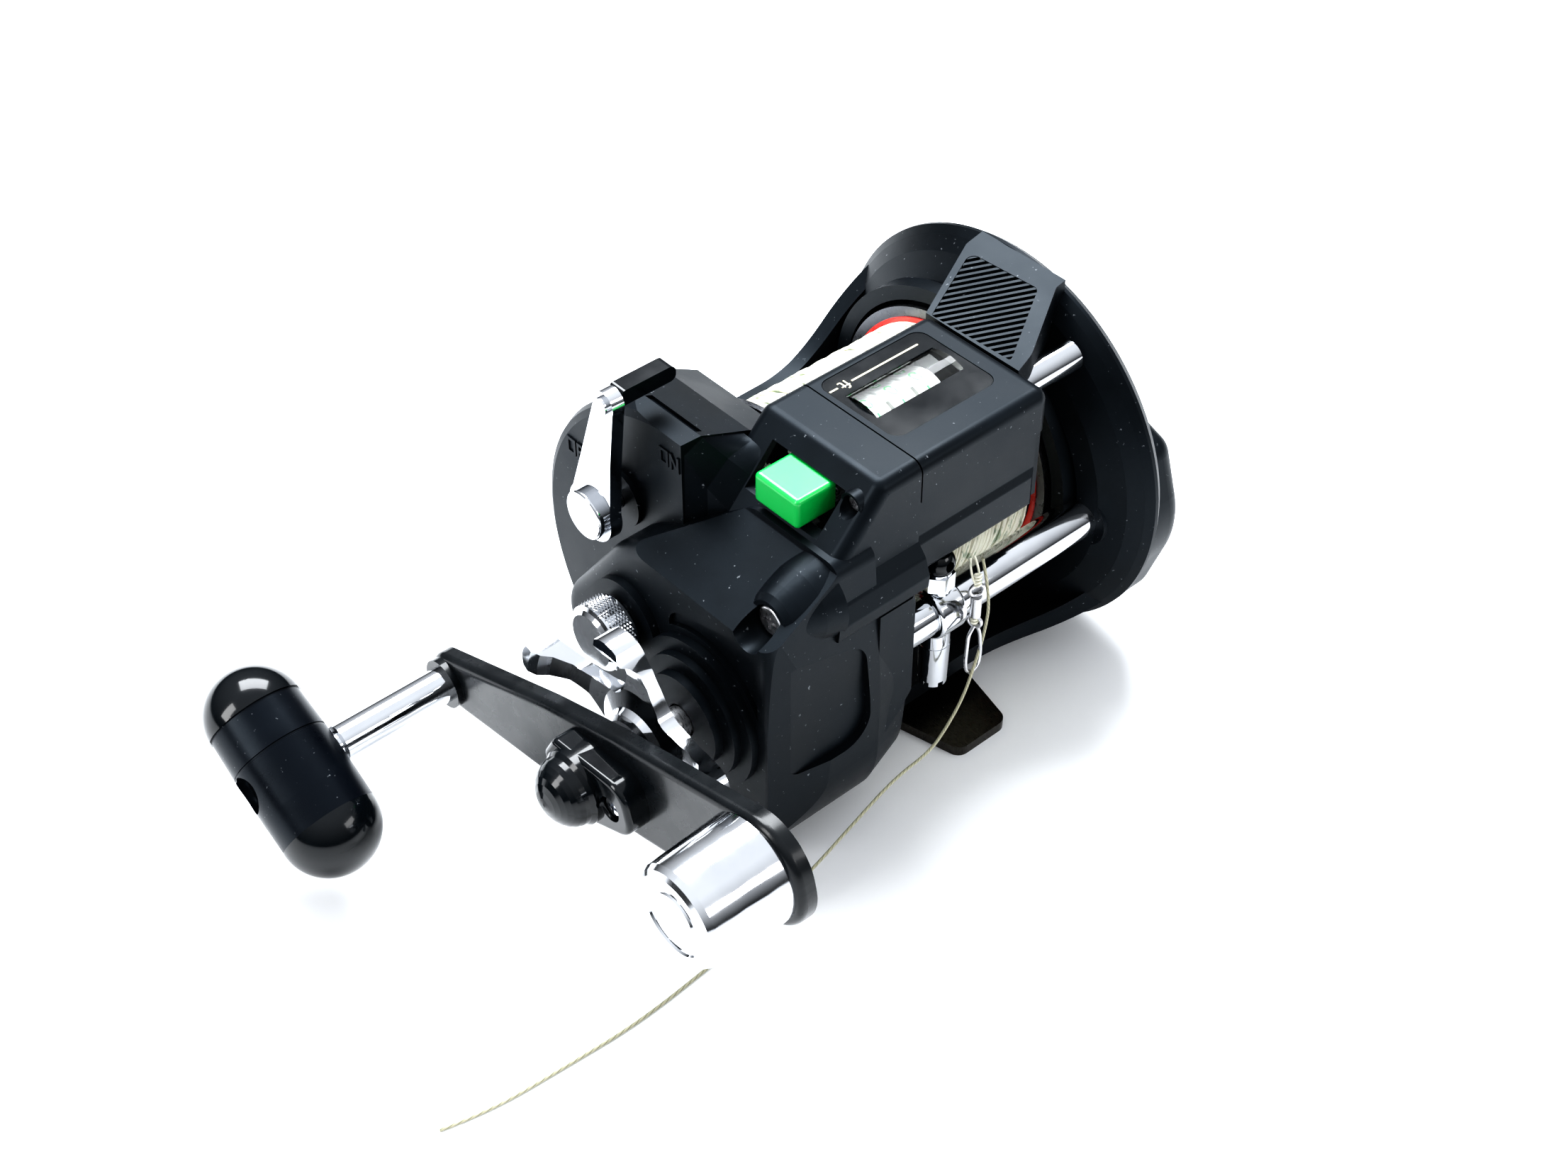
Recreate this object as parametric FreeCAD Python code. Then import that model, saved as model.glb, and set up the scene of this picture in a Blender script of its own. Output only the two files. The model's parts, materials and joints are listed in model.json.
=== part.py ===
import FreeCAD, Part
import math
import os

V = FreeCAD.Vector

# Trolling reel with a line counter. Millimetres, +Z up.
# +X runs along the spool axis from the handle side to the palm side, -Y is the line side.
# The origin is the middle of the foot's underside.

# ---- shafts: each runs along X through (y, z) ----
SPOOL = (4.0, 42.0)
RING = (0.0, 42.0)
DRIVE = (-16.0, 34.5)
TUBE = (-29.0, 40.0)
COUNTER = (-13.5, 71.0)
LEVER = (16.4, 58.1)
DOG_PIVOT = (2.0, 18.0)
YOKE_POSTS = [(14.2, 47.6), (12.0, 33.4)]

# ---- side plates ----
DISC_R = 40.2
PLATE_BACK_R = 36.6
BAR_R = 41.0
RING_R = 42.0
SPLIT_X = -31.5
WEB_X = -26.0
PLATE_X = -23.0
BAR_X = (-25.8, 33.4)
CLUTCH_FACE_X = -47.0
GEARBOX_FACE_X = -56.0
WALL = 2.0
PLATE_WALL = 2.5
RIM_X = 33.0
RIM_BACK_X = 35.5

# ---- spool ----
FLANGE_R = 27.5
FLANGE_T = 2.0
FLANGE_ROOM = FLANGE_R + 1.0
SPOOL_X = (-20.5, 22.5)
LINE_R = 23.8
HUB_R = 11.0
SPOOL_SHAFT_R = 2.5
RUNNING = 0.05

# ---- gears: teeth and module ----
MAIN_TEETH = 54
PINION_TEETH = 16
MAIN_MODULE = 2 * math.dist(SPOOL, DRIVE) / (MAIN_TEETH + PINION_TEETH)
WIND_TEETH = 36
WORM_TEETH = 12
WIND_MODULE = 2 * math.dist(DRIVE, TUBE) / (WIND_TEETH + WORM_TEETH)
SPOOL_GEAR_TEETH = 15
REDUCER_TEETH = 60
REDUCER_PINION_TEETH = 10
TRANSFER_TEETH = 20
TRANSFER_PINION_TEETH = 10
COUNTER_TEETH = 24
REDUCER_MODULE = 0.45
TRANSFER_MODULE = 0.6
COUNTER_MODULE = 0.5
REDUCER_BEARING = 119.0
RATCHET_TEETH = 12
PIN_R = 0.95

# ---- handle ----
ARM_TILT = 14.3
ARM_KNOB = 47.0
ARM_WEIGHT = 42.0
ARM_X = (-80.0, -76.5)
KNOB_X = -114.0
KNOB_R = 9.5
KNOB_LENGTH = 43.0
KNOB_LEAN = 28.4
KNOB_GAP = 0.02
POST_R = 3.5
POST_PIN_R = 2.55
WEIGHT_R = 10.2
WEIGHT_END_X = -96.5
STAR_ARMS = 5
STAR_TURN = 15.6

# ---- counter housing ----
CAP_X = (-20.0, 11.5)
CAP_Y = (-32.0, -1.0)
CAP_Z = (54.0, 80.0)
CAP_SEAM = 0.3
LID_DROP = 8.6
FLOOR_Y = (CAP_Y[0] + 2.7, -21.6)
WHEEL_R = 6.6
WHEEL_W = 5.2
WHEEL_X = (-16.6, -10.6, -4.6)
LABEL_X = (-18.6, 6.4)
LABEL_Y = (-24.2, -3.8)
WINDOW_X = (-16.8, 4.4)
WINDOW_Y = (-17.6, -9.4)
BUTTON_X = (-39.6, -30.9)
BUTTON_Y = (-22.4, -11.2)
BUTTON_Z = (70.2, 76.4)
BUTTON_PLAY = 0.4
PILLAR = (-21.0, 72.6)

# ---- thumb bridge ----
BRIDGE_X = (CAP_X[1] + 0.2, 33.0)
BRIDGE_TOP = (76.5, 0.225)
RIB_STEP = 1.4
RIB_T = 0.6

# ---- level wind ----
TUBE_R = 4.05
TUBE_BORE_R = 3.1
TUBE_X = (-31.0, 31.0)
WORM_R = 2.3
GROOVE_R = 2.4
WORM_LEAD = 9.0
CARRIAGE_X = -11.3
PAWL_R = 1.1

# ---- foot ----
FOOT_LENGTH = 66.0
FOOT_T = 2.2
FOOT_RIVETS = [(-5.5, -7.0), (5.5, -7.0), (-5.5, 7.0), (5.5, 7.0)]
RIVET_R = 1.48

# ---- case screws: (y, z), seat, tip, radius of head and shank ----
BIG_SCREW = (-27.8, 60.0)
HOUSING_SCREW = (-28.0, 75.6)
FACE_SCREW = (18.4, 73.6)

# ---- lever ----
LEVER_X = (-54.2, -51.6)
LEVER_TIP = (10.5, 85.6)

# ---- swivel and the free end of the line ----
SWIVEL = (-8.8, -36.3)
LINE_D = 0.6
FREE_LINE = [
    (-4.9, -33.6, 51.2), (-3.8, -35.2, 42.4), (-5.2, -35.8, 34.9), (-8.6, -36.8, 28.7),
    (-12.4, -38.0, 23.9), (-17.7, -38.9, 19.7), (-22.4, -39.7, 17.9), (-31.2, -39.9, 17.4),
    (-40.9, -39.6, 12.2), (-52.1, -39.7, 6.9), (-66.6, -38.9, 0.6), (-75.9, -39.9, 0.32),
    (-92.9, -41.0, 0.34), (-107.6, -39.9, 0.32), (-123.1, -38.6, 0.34), (-131.4, -36.1, 0.32),
]

# ---- outlines of the handle side, as (y, z, corner radius) ----
GEARBOX_OUTLINE = [
    (-33.0, 69.0, 3.0), (-35.8, 36.0, 60.0), (-35.2, 0.5, 22.0), (6.0, 0.5, 14.0),
    (26.0, 33.0, 9.0), (8.0, 57.0, 18.0), (-12.0, 69.0, 6.0),
]
PLATE_BACK_OUTLINE = [
    (-31.6, 66.0, 2.0), (-34.4, 36.0, 60.0), (-31.6, 4.5, 18.0), (5.0, 4.5, 11.0),
    (22.0, 33.0, 7.0), (6.0, 54.0, 15.0), (-12.0, 66.0, 4.0),
]
PALM_OUTLINE = [
    (-33.0, 50.0, 5.0), (-38.6, 33.0, 20.0), (-31.4, 12.0, 9.0), (0.0, 5.5, 30.0), (25.0, 14.0, 12.0),
    (29.0, 42.0, 14.0), (14.0, 62.0, 12.0), (-12.0, 58.0, 16.0),
]
# Top of the handle side, falling towards the spool: (x, z).
TOP_LINE = [(-60.0, 80.4), (-42.5, 79.6), (SPLIT_X, 75.1), (PLATE_X, 70.2), (-18.0, 67.3)]

os.makedirs("parts", exist_ok=True)


# ---- general shapes ----
def save(name, shape):
    shape.exportStep("parts/" + name + ".step")
    print(name, "volume", round(shape.Volume, 1), "valid", shape.isValid(), "solids", len(shape.Solids))


def tube_x(x0, x1, axis, radius):
    return Part.makeCylinder(radius, x1 - x0, V(x0, *axis), V(1, 0, 0))


def ring_x(x0, x1, axis, outer, inner):
    return tube_x(x0, x1, axis, outer).cut(tube_x(x0, x1, axis, inner))


def cone_x(x0, x1, axis, r0, r1):
    return Part.makeCone(r0, r1, x1 - x0, V(x0, *axis), V(1, 0, 0))


def box(x, y, z):
    return Part.makeBox(x[1] - x[0], y[1] - y[0], z[1] - z[0], V(x[0], y[0], z[0]))


def fuse(shapes):
    return shapes[0].multiFuse(shapes[1:]).removeSplitter()


def rounded_face(corners, place):
    """Polygon face whose corners are (u, v, radius); place turns a flat point into a point in space."""
    count = len(corners)
    flat = [V(u, v, 0) for u, v, _ in corners]
    starts = []
    middles = []
    ends = []
    for i, (_, _, r) in enumerate(corners):
        before = (flat[i - 1] - flat[i]).normalize()
        after = (flat[(i + 1) % count] - flat[i]).normalize()
        half = before.getAngle(after) / 2
        reach = r / math.tan(half)
        starts.append(flat[i] + before * reach)
        ends.append(flat[i] + after * reach)
        middles.append(flat[i] + (before + after).normalize() * (r / math.sin(half) - r))
    edges = []
    for i, (_, _, r) in enumerate(corners):
        if r > 0:
            edges.append(Part.Arc(place(starts[i]), place(middles[i]), place(ends[i])).toShape())
        following = starts[(i + 1) % count]
        if (following - ends[i]).Length > 1e-6:
            edges.append(Part.LineSegment(place(ends[i]), place(following)).toShape())
    return Part.Face(Part.Wire(edges))


def face_x(corners, x):
    return rounded_face(corners, lambda p: V(x, p.x, p.y))


def plate_x(corners, x0, x1):
    """Outline in the YZ plane, extruded along X."""
    return face_x(corners, x0).extrude(V(x1 - x0, 0, 0))


def plate_y(corners, y0, y1):
    """Outline in the XZ plane, extruded along Y."""
    return rounded_face(corners, lambda p: V(p.x, y0, p.y)).extrude(V(0, y1 - y0, 0))


def plate_z(corners, z0, z1):
    """Outline in the XY plane, extruded along Z."""
    return rounded_face(corners, lambda p: V(p.x, p.y, z0)).extrude(V(0, 0, z1 - z0))


def tapered_x(near, x0, far, x1):
    """Solid between two YZ outlines that have the same number of corners."""
    return Part.makeLoft([face_x(near, x0).OuterWire, face_x(far, x1).OuterWire], True, True)


def between(near, far, share):
    return [tuple(a + (b - a) * share for a, b in zip(p, q)) for p, q in zip(near, far)]


def polygon(points):
    return Part.makePolygon(points + points[:1])


def turned(profile, axis):
    """Closed profile of (x, radius) points, turned about the X-parallel axis."""
    face = Part.Face(polygon([V(x, axis[0], axis[1] + r) for x, r in profile]))
    return face.revolve(V(0, *axis), V(1, 0, 0), 360)


def domed(x0, x1, radius, steps=8):
    """Profile points of a rounded nose from x0, full radius, to x1 on the axis."""
    quarter = [math.pi / 2 * k / steps for k in range(steps + 1)]
    return [(x0 + (x1 - x0) * math.sin(a), radius * math.cos(a)) for a in quarter[:-1]] + [(x1, 0.0)]


def round_edges(shape, radius, chosen):
    return shape.makeFillet(radius, [e for e in shape.Edges if chosen(e)])


def at_x(x):
    """Chooses the edges that lie in the plane X = x."""
    near = 1e-4
    return lambda e: all(abs(v.Point.x - x) < near for v in e.Vertexes) and abs(e.CenterOfMass.x - x) < near


def polar(axis, angle, distance):
    a = math.radians(angle)
    return (axis[0] + distance * math.cos(a), axis[1] + distance * math.sin(a))


def inset(corners, amount):
    """Moves each side of an outline inwards by amount."""
    count = len(corners)
    centre = V(sum(c[0] for c in corners) / count, sum(c[1] for c in corners) / count, 0)
    lines = []
    for i in range(count):
        a = V(*corners[i][:2], 0)
        along = (V(*corners[(i + 1) % count][:2], 0) - a).normalize()
        normal = V(-along.y, along.x, 0)
        if normal.dot(centre - a) < 0:
            normal = normal * -1
        lines.append((a + normal * amount, along))
    moved = []
    for i in range(count):
        p, d = lines[i - 1]
        q, e = lines[i]
        cross = d.x * e.y - d.y * e.x
        t = ((q.x - p.x) * e.y - (q.y - p.y) * e.x) / cross
        corner = p + d * t
        moved.append((corner.x, corner.y, max(0.5, corners[i][2] - amount)))
    return moved


# ---- gears ----
def gear(x0, x1, axis, teeth, module, bore, turn=0.0):
    """Spur gear with involute flanks; turn is the angle of one tooth from +Y, in degrees."""
    pressure = math.radians(22)
    pitch_r = teeth * module / 2
    base_r = pitch_r * math.cos(pressure)
    tip_r = pitch_r + 0.8 * module
    root_r = pitch_r - 1.15 * module
    half_tooth = math.pi / teeth * 0.42
    involute = math.tan(pressure) - pressure
    low = max(base_r, root_r)
    radii = [low + (tip_r - low) * k / 3 for k in range(4)]

    def flank(radius):
        angle = math.acos(min(1.0, base_r / radius))
        return half_tooth + involute - (math.tan(angle) - angle)

    side = [(root_r, flank(low))] + [(r, flank(r)) for r in radii]
    points = []
    for tooth in range(teeth):
        middle = math.radians(turn) + 2 * math.pi * tooth / teeth
        points += [(r, middle - a) for r, a in side]
        points += [(r, middle + a) for r, a in reversed(side)]
    corners = [V(x0, axis[0] + r * math.cos(a), axis[1] + r * math.sin(a)) for r, a in points]
    blank = Part.Face(polygon(corners)).extrude(V(x1 - x0, 0, 0))
    return blank.cut(tube_x(x0 - 1, x1 + 1, axis, bore))


def mesh_turn(driver, driven, driver_teeth, driven_teeth, driver_turn):
    """Turn that puts a gap of the driven gear on a tooth of the driver."""
    line = math.degrees(math.atan2(driven[1] - driver[1], driven[0] - driver[0]))
    phase = (line - driver_turn) * driver_teeth / driven_teeth
    return line + 180 + phase + 180 / driven_teeth


def transfer_place():
    """Where the transfer gear's shaft reaches both the reducer and the counter."""
    first = (REDUCER_PINION_TEETH + TRANSFER_TEETH) * TRANSFER_MODULE / 2
    second = (TRANSFER_PINION_TEETH + COUNTER_TEETH) * COUNTER_MODULE / 2
    gap = math.dist(REDUCER, COUNTER)
    bearing = math.degrees(math.atan2(COUNTER[1] - REDUCER[1], COUNTER[0] - REDUCER[0]))
    bend = math.degrees(math.acos((first ** 2 + gap ** 2 - second ** 2) / (2 * first * gap)))
    return polar(REDUCER, bearing + bend, first)


REDUCER = polar(SPOOL, REDUCER_BEARING, (SPOOL_GEAR_TEETH + REDUCER_TEETH) * REDUCER_MODULE / 2)
TRANSFER = transfer_place()


# ---- handle side cover ----
def above_top_line(drop):
    """Everything above the sloping top of the handle side, behind the counter housing."""
    line = [(x, z - drop, 0) for x, z in TOP_LINE]
    return plate_y(line + [(TOP_LINE[-1][0], 100, 0), (TOP_LINE[0][0], 100, 0)], -60, 60)


def gearbox_body(shrink):
    """Outer form of the gearbox bulge, or its cavity when shrink is the wall thickness."""
    face_x = GEARBOX_FACE_X + shrink
    lean = 0.536
    crease = (-40.0, 67.5 - shrink)
    low = (-62.0, crease[1] - 22 * lean)
    top = [(*crease, 0), (*low, 0), (low[0], 95.0, 0), (crease[0], 95.0, 0)]
    front = [(-36.0, -37.0 + shrink, 0), (-60.0, -32.5 + shrink, 0), (-60.0, -60.0, 0), (-36.0, -60.0, 0)]
    body = plate_x(inset(GEARBOX_OUTLINE, shrink) if shrink else GEARBOX_OUTLINE, SPLIT_X, face_x)
    if not shrink:
        body = round_edges(body, 3.0, at_x(face_x))
    return body.cut(plate_y(top, -60, 60)).cut(plate_z(front, -10, 100))


def counter_side(shrink):
    """Side housing of the counter, with its sloping face towards the handle."""
    s = shrink
    corners = [
        (CAP_X[0], CAP_Z[1] - s, 0), (-28.7, CAP_Z[1] - s, 0), (-41.5 + 1.4 * s, 65.9, 0),
        (-41.5 + s, CAP_Z[0] + s, 0), (CAP_X[0], CAP_Z[0] + s, 0),
    ]
    body = plate_y(corners, CAP_Y[0] + s, CAP_Y[1] - s)
    if not shrink:
        body = round_edges(
            body, 2.4, lambda e: e.CenterOfMass.x < CAP_X[0] - 0.1 and e.CenterOfMass.z > 66)
    return body


def housing_skirt():
    """Lower lip of the counter housing, over the front of the frame's plate."""
    lip = [
        (-29.5, CAP_Z[0], 0), (-34.9, CAP_Z[0], 0.6), (-35.2, 57.0, 1.0), (-34.0, 60.5, 1.5),
        (-31.0, 64.0, 0), (-29.5, 64.0, 0),
    ]
    return plate_x(lip, -41.3, CAP_X[0])


def clutch_disc(shrink):
    face = CLUTCH_FACE_X + shrink
    r = DISC_R - shrink
    disc = turned([
        (face, 0), (face, r - 2.0), (face + 0.7, r - 0.7), (face + 2.2, r), (SPLIT_X, r), (SPLIT_X, 0),
    ], RING)
    disc = disc.cut(above_top_line(shrink * 1.15))
    disc = disc.cut(box((-60, 0), (-60, CAP_Y[1] + shrink), (CAP_Z[0] - shrink, 100)))
    return disc.common(box((-60, 0), (-33.0 + shrink, 60), (-5, 100)))


def clutch_shoulder():
    """Hollow curve that leads from the counter housing's sloping face onto the clutch disc."""
    sections = [
        (CAP_Y[1] + 0.1, [(-33.0, 75.3), (-42.4, 79.3), (-46.4, 77.6), (-46.9, 56.0), (-33.0, 56.0)]),
        (CAP_Y[1] - 2.4, [(-33.0, 75.2), (-38.6, 74.0), (-43.4, 70.0), (-43.4, 56.0), (-33.0, 56.0)]),
        (CAP_Y[1] - 6.0, [(-33.0, 75.1), (-36.5, 71.2), (-41.4, 65.7), (-41.4, 56.0), (-33.0, 56.0)]),
    ]
    wires = [polygon([V(x, y, z) for x, z in corners]) for y, corners in sections]
    return Part.makeLoft(wires, True, True)


def drive_boss():
    """Stepped rings round the drive shaft."""
    steps = ((15.0, 1.6), (12.2, 3.2), (9.2, 5.0))
    return fuse([tube_x(GEARBOX_FACE_X - h, GEARBOX_FACE_X + 2, DRIVE, r) for r, h in steps])


def big_screw_boss():
    return turned([
        (-40.0, 0), (-40.0, 8.2), (-44.0, 7.2), (-47.5, 6.0), (-49.6, 5.2), (-50.8, 4.3), (-50.8, 0),
    ], BIG_SCREW)


def raised_word(strokes, y, z, height):
    """Raised letters on the clutch face, from strokes in a 4 by 6 grid per letter."""
    unit = height / 6
    half = 0.3
    bars = []
    for (y0, z0), (y1, z1) in strokes:
        a = V(CLUTCH_FACE_X - 0.3, y - y0 * unit, z + z0 * unit)
        b = V(CLUTCH_FACE_X - 0.3, y - y1 * unit, z + z1 * unit)
        run = (b - a).normalize() * half
        side = V(0, -run.z, run.y)
        rim = [a - run + side, b + run + side, b + run - side, a - run - side]
        bars.append(Part.Face(polygon(rim)).extrude(V(0.9, 0, 0)))
    return bars


def switch_words():
    o = [((0, 0), (0, 6)), ((0, 6), (4, 6)), ((4, 6), (4, 0)), ((4, 0), (0, 0))]
    f = [((0, 0), (0, 6)), ((0, 6), (4, 6)), ((0, 3), (3, 3))]
    n = [((0, 0), (0, 6)), ((0, 6), (4, 0)), ((4, 0), (4, 6))]
    pitch = 6

    def word(letters):
        return [((a[0] + pitch * i, a[1]), (b[0] + pitch * i, b[1]))
                for i, letter in enumerate(letters) for a, b in letter]

    return raised_word(word([o, f, f]), 31.6, 59.5, 3.0) + raised_word(word([o, n]), 4.4, 73.6, 2.8)


def screw_pillars():
    pocket = tube_x(GEARBOX_FACE_X, -49.0, BIG_SCREW, 4.6).common(gearbox_body(0))
    return [
        pocket, tube_x(-50.0, SPLIT_X, BIG_SCREW, 3.6), tube_x(-32.6, -25.7, HOUSING_SCREW, 2.4),
        tube_x(-45.5, -37.5, FACE_SCREW, 2.4),
    ]


def screw_seats():
    return [
        tube_x(-60, -49.3, BIG_SCREW, 3.4), tube_x(-60, SPLIT_X, BIG_SCREW, 1.32),
        tube_x(-60, -30.6, HOUSING_SCREW, 1.9), tube_x(-60, -20, HOUSING_SCREW, 0.92),
        tube_x(-60, -46.2, FACE_SCREW, 1.9), tube_x(-60, -37.9, FACE_SCREW, 0.92),
    ]


def cover_recesses():
    """Label recess in the gearbox face, front panel, and the groove across the clutch cover."""
    triangle = [(-3.0, 51.0, 4.0), (-30.3, 58.5, 2.5), (-31.0, 27.0, 2.5)]
    label = plate_x(triangle, GEARBOX_FACE_X - 1, GEARBOX_FACE_X + 0.9)
    label = label.cut(tube_x(GEARBOX_FACE_X - 2, GEARBOX_FACE_X + 2, DRIVE, 16.5))
    panel = [(-52.5, 54.0, 2.0), (-34.5, 49.5, 5.0), (-33.6, 27.0, 6.0), (-51.5, 27.5, 2.0)]
    groove = [(-42.5, 78.9, 0), (-41.0, 78.3, 0), (-41.0, 85.0, 0), (-42.5, 85.0, 0)]
    return [label, plate_y(panel, -42, -34.1), plate_y(groove, 0.5, 14.0)]


def cover_bores():
    inner = CLUTCH_FACE_X + 6
    return [
        tube_x(-59.35, inner, DRIVE, 5.2), tube_x(-70, -59.0, DRIVE, 3.3),
        tube_x(-70, inner, SPOOL, 4.2), tube_x(-70, inner, LEVER, 2.05),
        tube_x(-32.9, -28.0, REDUCER, 14.6), tube_x(-23.6, -19, SPOOL, FLANGE_ROOM),
    ]


def handle_side_cover():
    collars = [
        tube_x(GEARBOX_FACE_X - 1.6, GEARBOX_FACE_X + 2, SPOOL, 8.8),
        tube_x(CLUTCH_FACE_X - 1.0, CLUTCH_FACE_X + 3, LEVER, 6.0),
    ]
    cover = fuse([
        gearbox_body(0), counter_side(0), clutch_disc(0), clutch_shoulder(), housing_skirt(), drive_boss(),
        big_screw_boss(),
    ] + collars)
    for cavity in (gearbox_body(WALL), counter_side(WALL), clutch_disc(WALL)):
        cover = cover.cut(cavity)
    well = box((-33.5, CAP_X[0] + 1), (CAP_Y[0] + WALL, CAP_Y[1] - WALL), (CAP_Z[0] - 1, CAP_Z[0] + 4))
    slot = box((-45, -27), (BUTTON_Y[0] - 3.2, BUTTON_Y[1] + 4.0),
               (BUTTON_Z[0] - 0.6, BUTTON_Z[1] + BUTTON_PLAY))
    for part in [well, slot] + cover_recesses() + cover_bores():
        cover = cover.cut(part)
    cover = fuse([cover] + screw_pillars())
    for seat in screw_seats():
        cover = cover.cut(seat)
    return fuse([cover] + switch_words())


# ---- one-piece frame ----
def right_plate():
    """Plate behind the gears; it narrows towards the spool."""
    box_front = box((-60, 0), (-35.0, 60), (-5, 100))
    cone = cone_x(SPLIT_X, PLATE_X, RING, DISC_R, PLATE_BACK_R)
    plate = fuse([cone.common(box_front), tapered_x(GEARBOX_OUTLINE, SPLIT_X, PLATE_BACK_OUTLINE, PLATE_X)])
    share = (WEB_X - SPLIT_X) / (PLATE_X - SPLIT_X)
    web_outline = inset(between(GEARBOX_OUTLINE, PLATE_BACK_OUTLINE, share), PLATE_WALL)
    web_r = DISC_R + (PLATE_BACK_R - DISC_R) * share - PLATE_WALL
    room = cone_x(SPLIT_X - 0.1, WEB_X, RING, DISC_R - PLATE_WALL, web_r)
    plate = plate.cut(room.common(box((-60, 0), (-32.5, 60), (-5, 100))).cut(above_top_line(PLATE_WALL)))
    plate = plate.cut(tapered_x(inset(GEARBOX_OUTLINE, PLATE_WALL), SPLIT_X - 0.1, web_outline, WEB_X))
    plate = plate.cut(above_top_line(0))
    plate = plate.cut(box((-40, CAP_X[0]), (CAP_Y[0] - 6, CAP_Y[1]), (CAP_Z[0], 100)))
    return plate.cut(tube_x(-40, 0, SPOOL, FLANGE_R - 1.0))


def left_ring():
    dish = turned([
        (26.0, 28.6), (27.0, 33.0), (29.5, 38.0), (31.6, 40.6), (RIM_X, RING_R), (RIM_X + 0.8, RING_R),
        (RIM_BACK_X, 40.8), (RIM_BACK_X, 38.4), (33.4, 38.4), (31.5, 35.5), (30.0, 31.5), (29.5, 28.6),
    ], RING)
    spool_ridge = ring_x(23.4, 30.0, SPOOL, 31.5, FLANGE_ROOM)
    tube_seat = tube_x(27.0, 33.0, TUBE, 6.0)
    return fuse([dish, spool_ridge]).cut(tube_x(0, 60, SPOOL, FLANGE_ROOM)).fuse(tube_seat)


def flared(low, high, wide_low, wide_high):
    """Strip outline that keeps its width from the right plate, then spreads into the left ring."""
    start, end = BAR_X
    bend = 17.0
    return [
        (start, low, 0), (start, high, 0), (bend, high, 22.0), (end, wide_high, 0),
        (end, wide_low, 0), (bend, low, 22.0),
    ]


def frame_bars():
    start, end = BAR_X
    rear = turned([
        (start, 37.6), (-12.0, 39.2), (14.0, 39.6), (end, BAR_R), (end, 37.6), (14.0, 36.4), (-12.0, 36.0),
        (start, 34.4),
    ], RING)
    bottom = turned([
        (start, 40.2), (-14.0, BAR_R), (end, BAR_R), (end, 37.6), (-14.0, 37.6), (start, 35.6),
    ], RING)
    return [
        rear.common(plate_y(flared(25.0, 42.8, 10.0, 64.0), 5, 60)),
        bottom.common(plate_z(flared(-20.0, 18.0, -34.0, 31.0), -5, 30)),
    ]


def counter_floor():
    """Arch over the spool and the walls that carry the counter."""
    line_room = tube_x(-30, 40, SPOOL, 26.0)
    arch = ring_x(CAP_X[0], BRIDGE_X[0] + 1, SPOOL, 26.9, 25.4)
    arch = arch.common(box((-30, 30), (-21.0, 3.0), (53.0, 80.0)))
    floor = box((CAP_X[0], BRIDGE_X[0] + 1), (FLOOR_Y[0], -19.8), (CAP_Z[0], CAP_Z[0] + 1.5))
    shelf = box((-26.0, -18.2), FLOOR_Y, (CAP_Z[0] - 0.1, CAP_Z[0] + 3.0))
    shelf = shelf.cut(tube_x(-30, CAP_X[0], SPOOL, FLANGE_ROOM)).cut(tube_x(-30, 0, SPOOL, 25.8))
    gear_wall = box((-25.6, -23.6), (FLOOR_Y[0] + 0.6, -3.6), (CAP_Z[0] - 1, 75.5))
    wheel_wall = box((CAP_X[0], -18.2), (FLOOR_Y[0], -3.0), (CAP_Z[0], 75.5)).cut(line_room)
    wall_x = (CAP_X[1] - 1.4, BRIDGE_X[0] + 1.0)
    front_wall = box(wall_x, (FLOOR_Y[0], -3.0), (CAP_Z[0], CAP_Z[1] - LID_DROP - 0.2))
    return [arch, floor, shelf, gear_wall, wheel_wall, front_wall.cut(line_room)]


def bridge_slab(low, high):
    """Everything between two planes parallel to the thumb bridge's sloping top."""
    level, slope = BRIDGE_TOP
    ends = [(x, level + slope * x) for x in (5.0, 40.0)]
    corners = [(x, z + low, 0) for x, z in ends] + [(x, z + high, 0) for x, z in reversed(ends)]
    return plate_y(corners, -40, 40)


def thumb_bridge():
    """Strut from the counter to the left ring, with a ribbed pad for the thumb."""
    outline = [
        (BRIDGE_X[0], -0.4, 0), (28.8, 6.6, 2.0), (BRIDGE_X[1], 6.6, 0), (BRIDGE_X[1], -14.6, 0),
        (30.6, -14.6, 1.0), (16.0, -22.8, 6.0), (BRIDGE_X[0], -23.8, 0),
    ]
    pad_corners = [(27.6, 4.4, 1.5), (28.4, -12.2, 1.5), (12.6, -21.0, 0.5), (11.9, -1.6, 0.5)]
    pad = plate_z(pad_corners, 50, 100)
    tops = pad.common(bridge_slab(-0.9, -0.1))
    centre = V(20.5, -8.0, 0)
    across = V(0.6, 0.8, 0)
    ribs = []
    for i in range(-14, 15):
        bar = Part.makeBox(60, RIB_T, 60, V(-30, 0, 50))
        bar.rotate(V(0, 0, 0), V(0, 0, 1), -36.9)
        bar.translate(centre + across * (i * RIB_STEP))
        rib = tops.common(bar)
        if rib.Volume > 0.05:
            ribs.append(rib)
    bridge = plate_z(outline, 50, 100).common(bridge_slab(-8.5, 0.0))
    bridge = bridge.cut(pad.common(bridge_slab(-0.8, 3.0)))
    return bridge.fuse(ribs).cut(tube_x(0, 30.2, SPOOL, FLANGE_ROOM))


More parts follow.
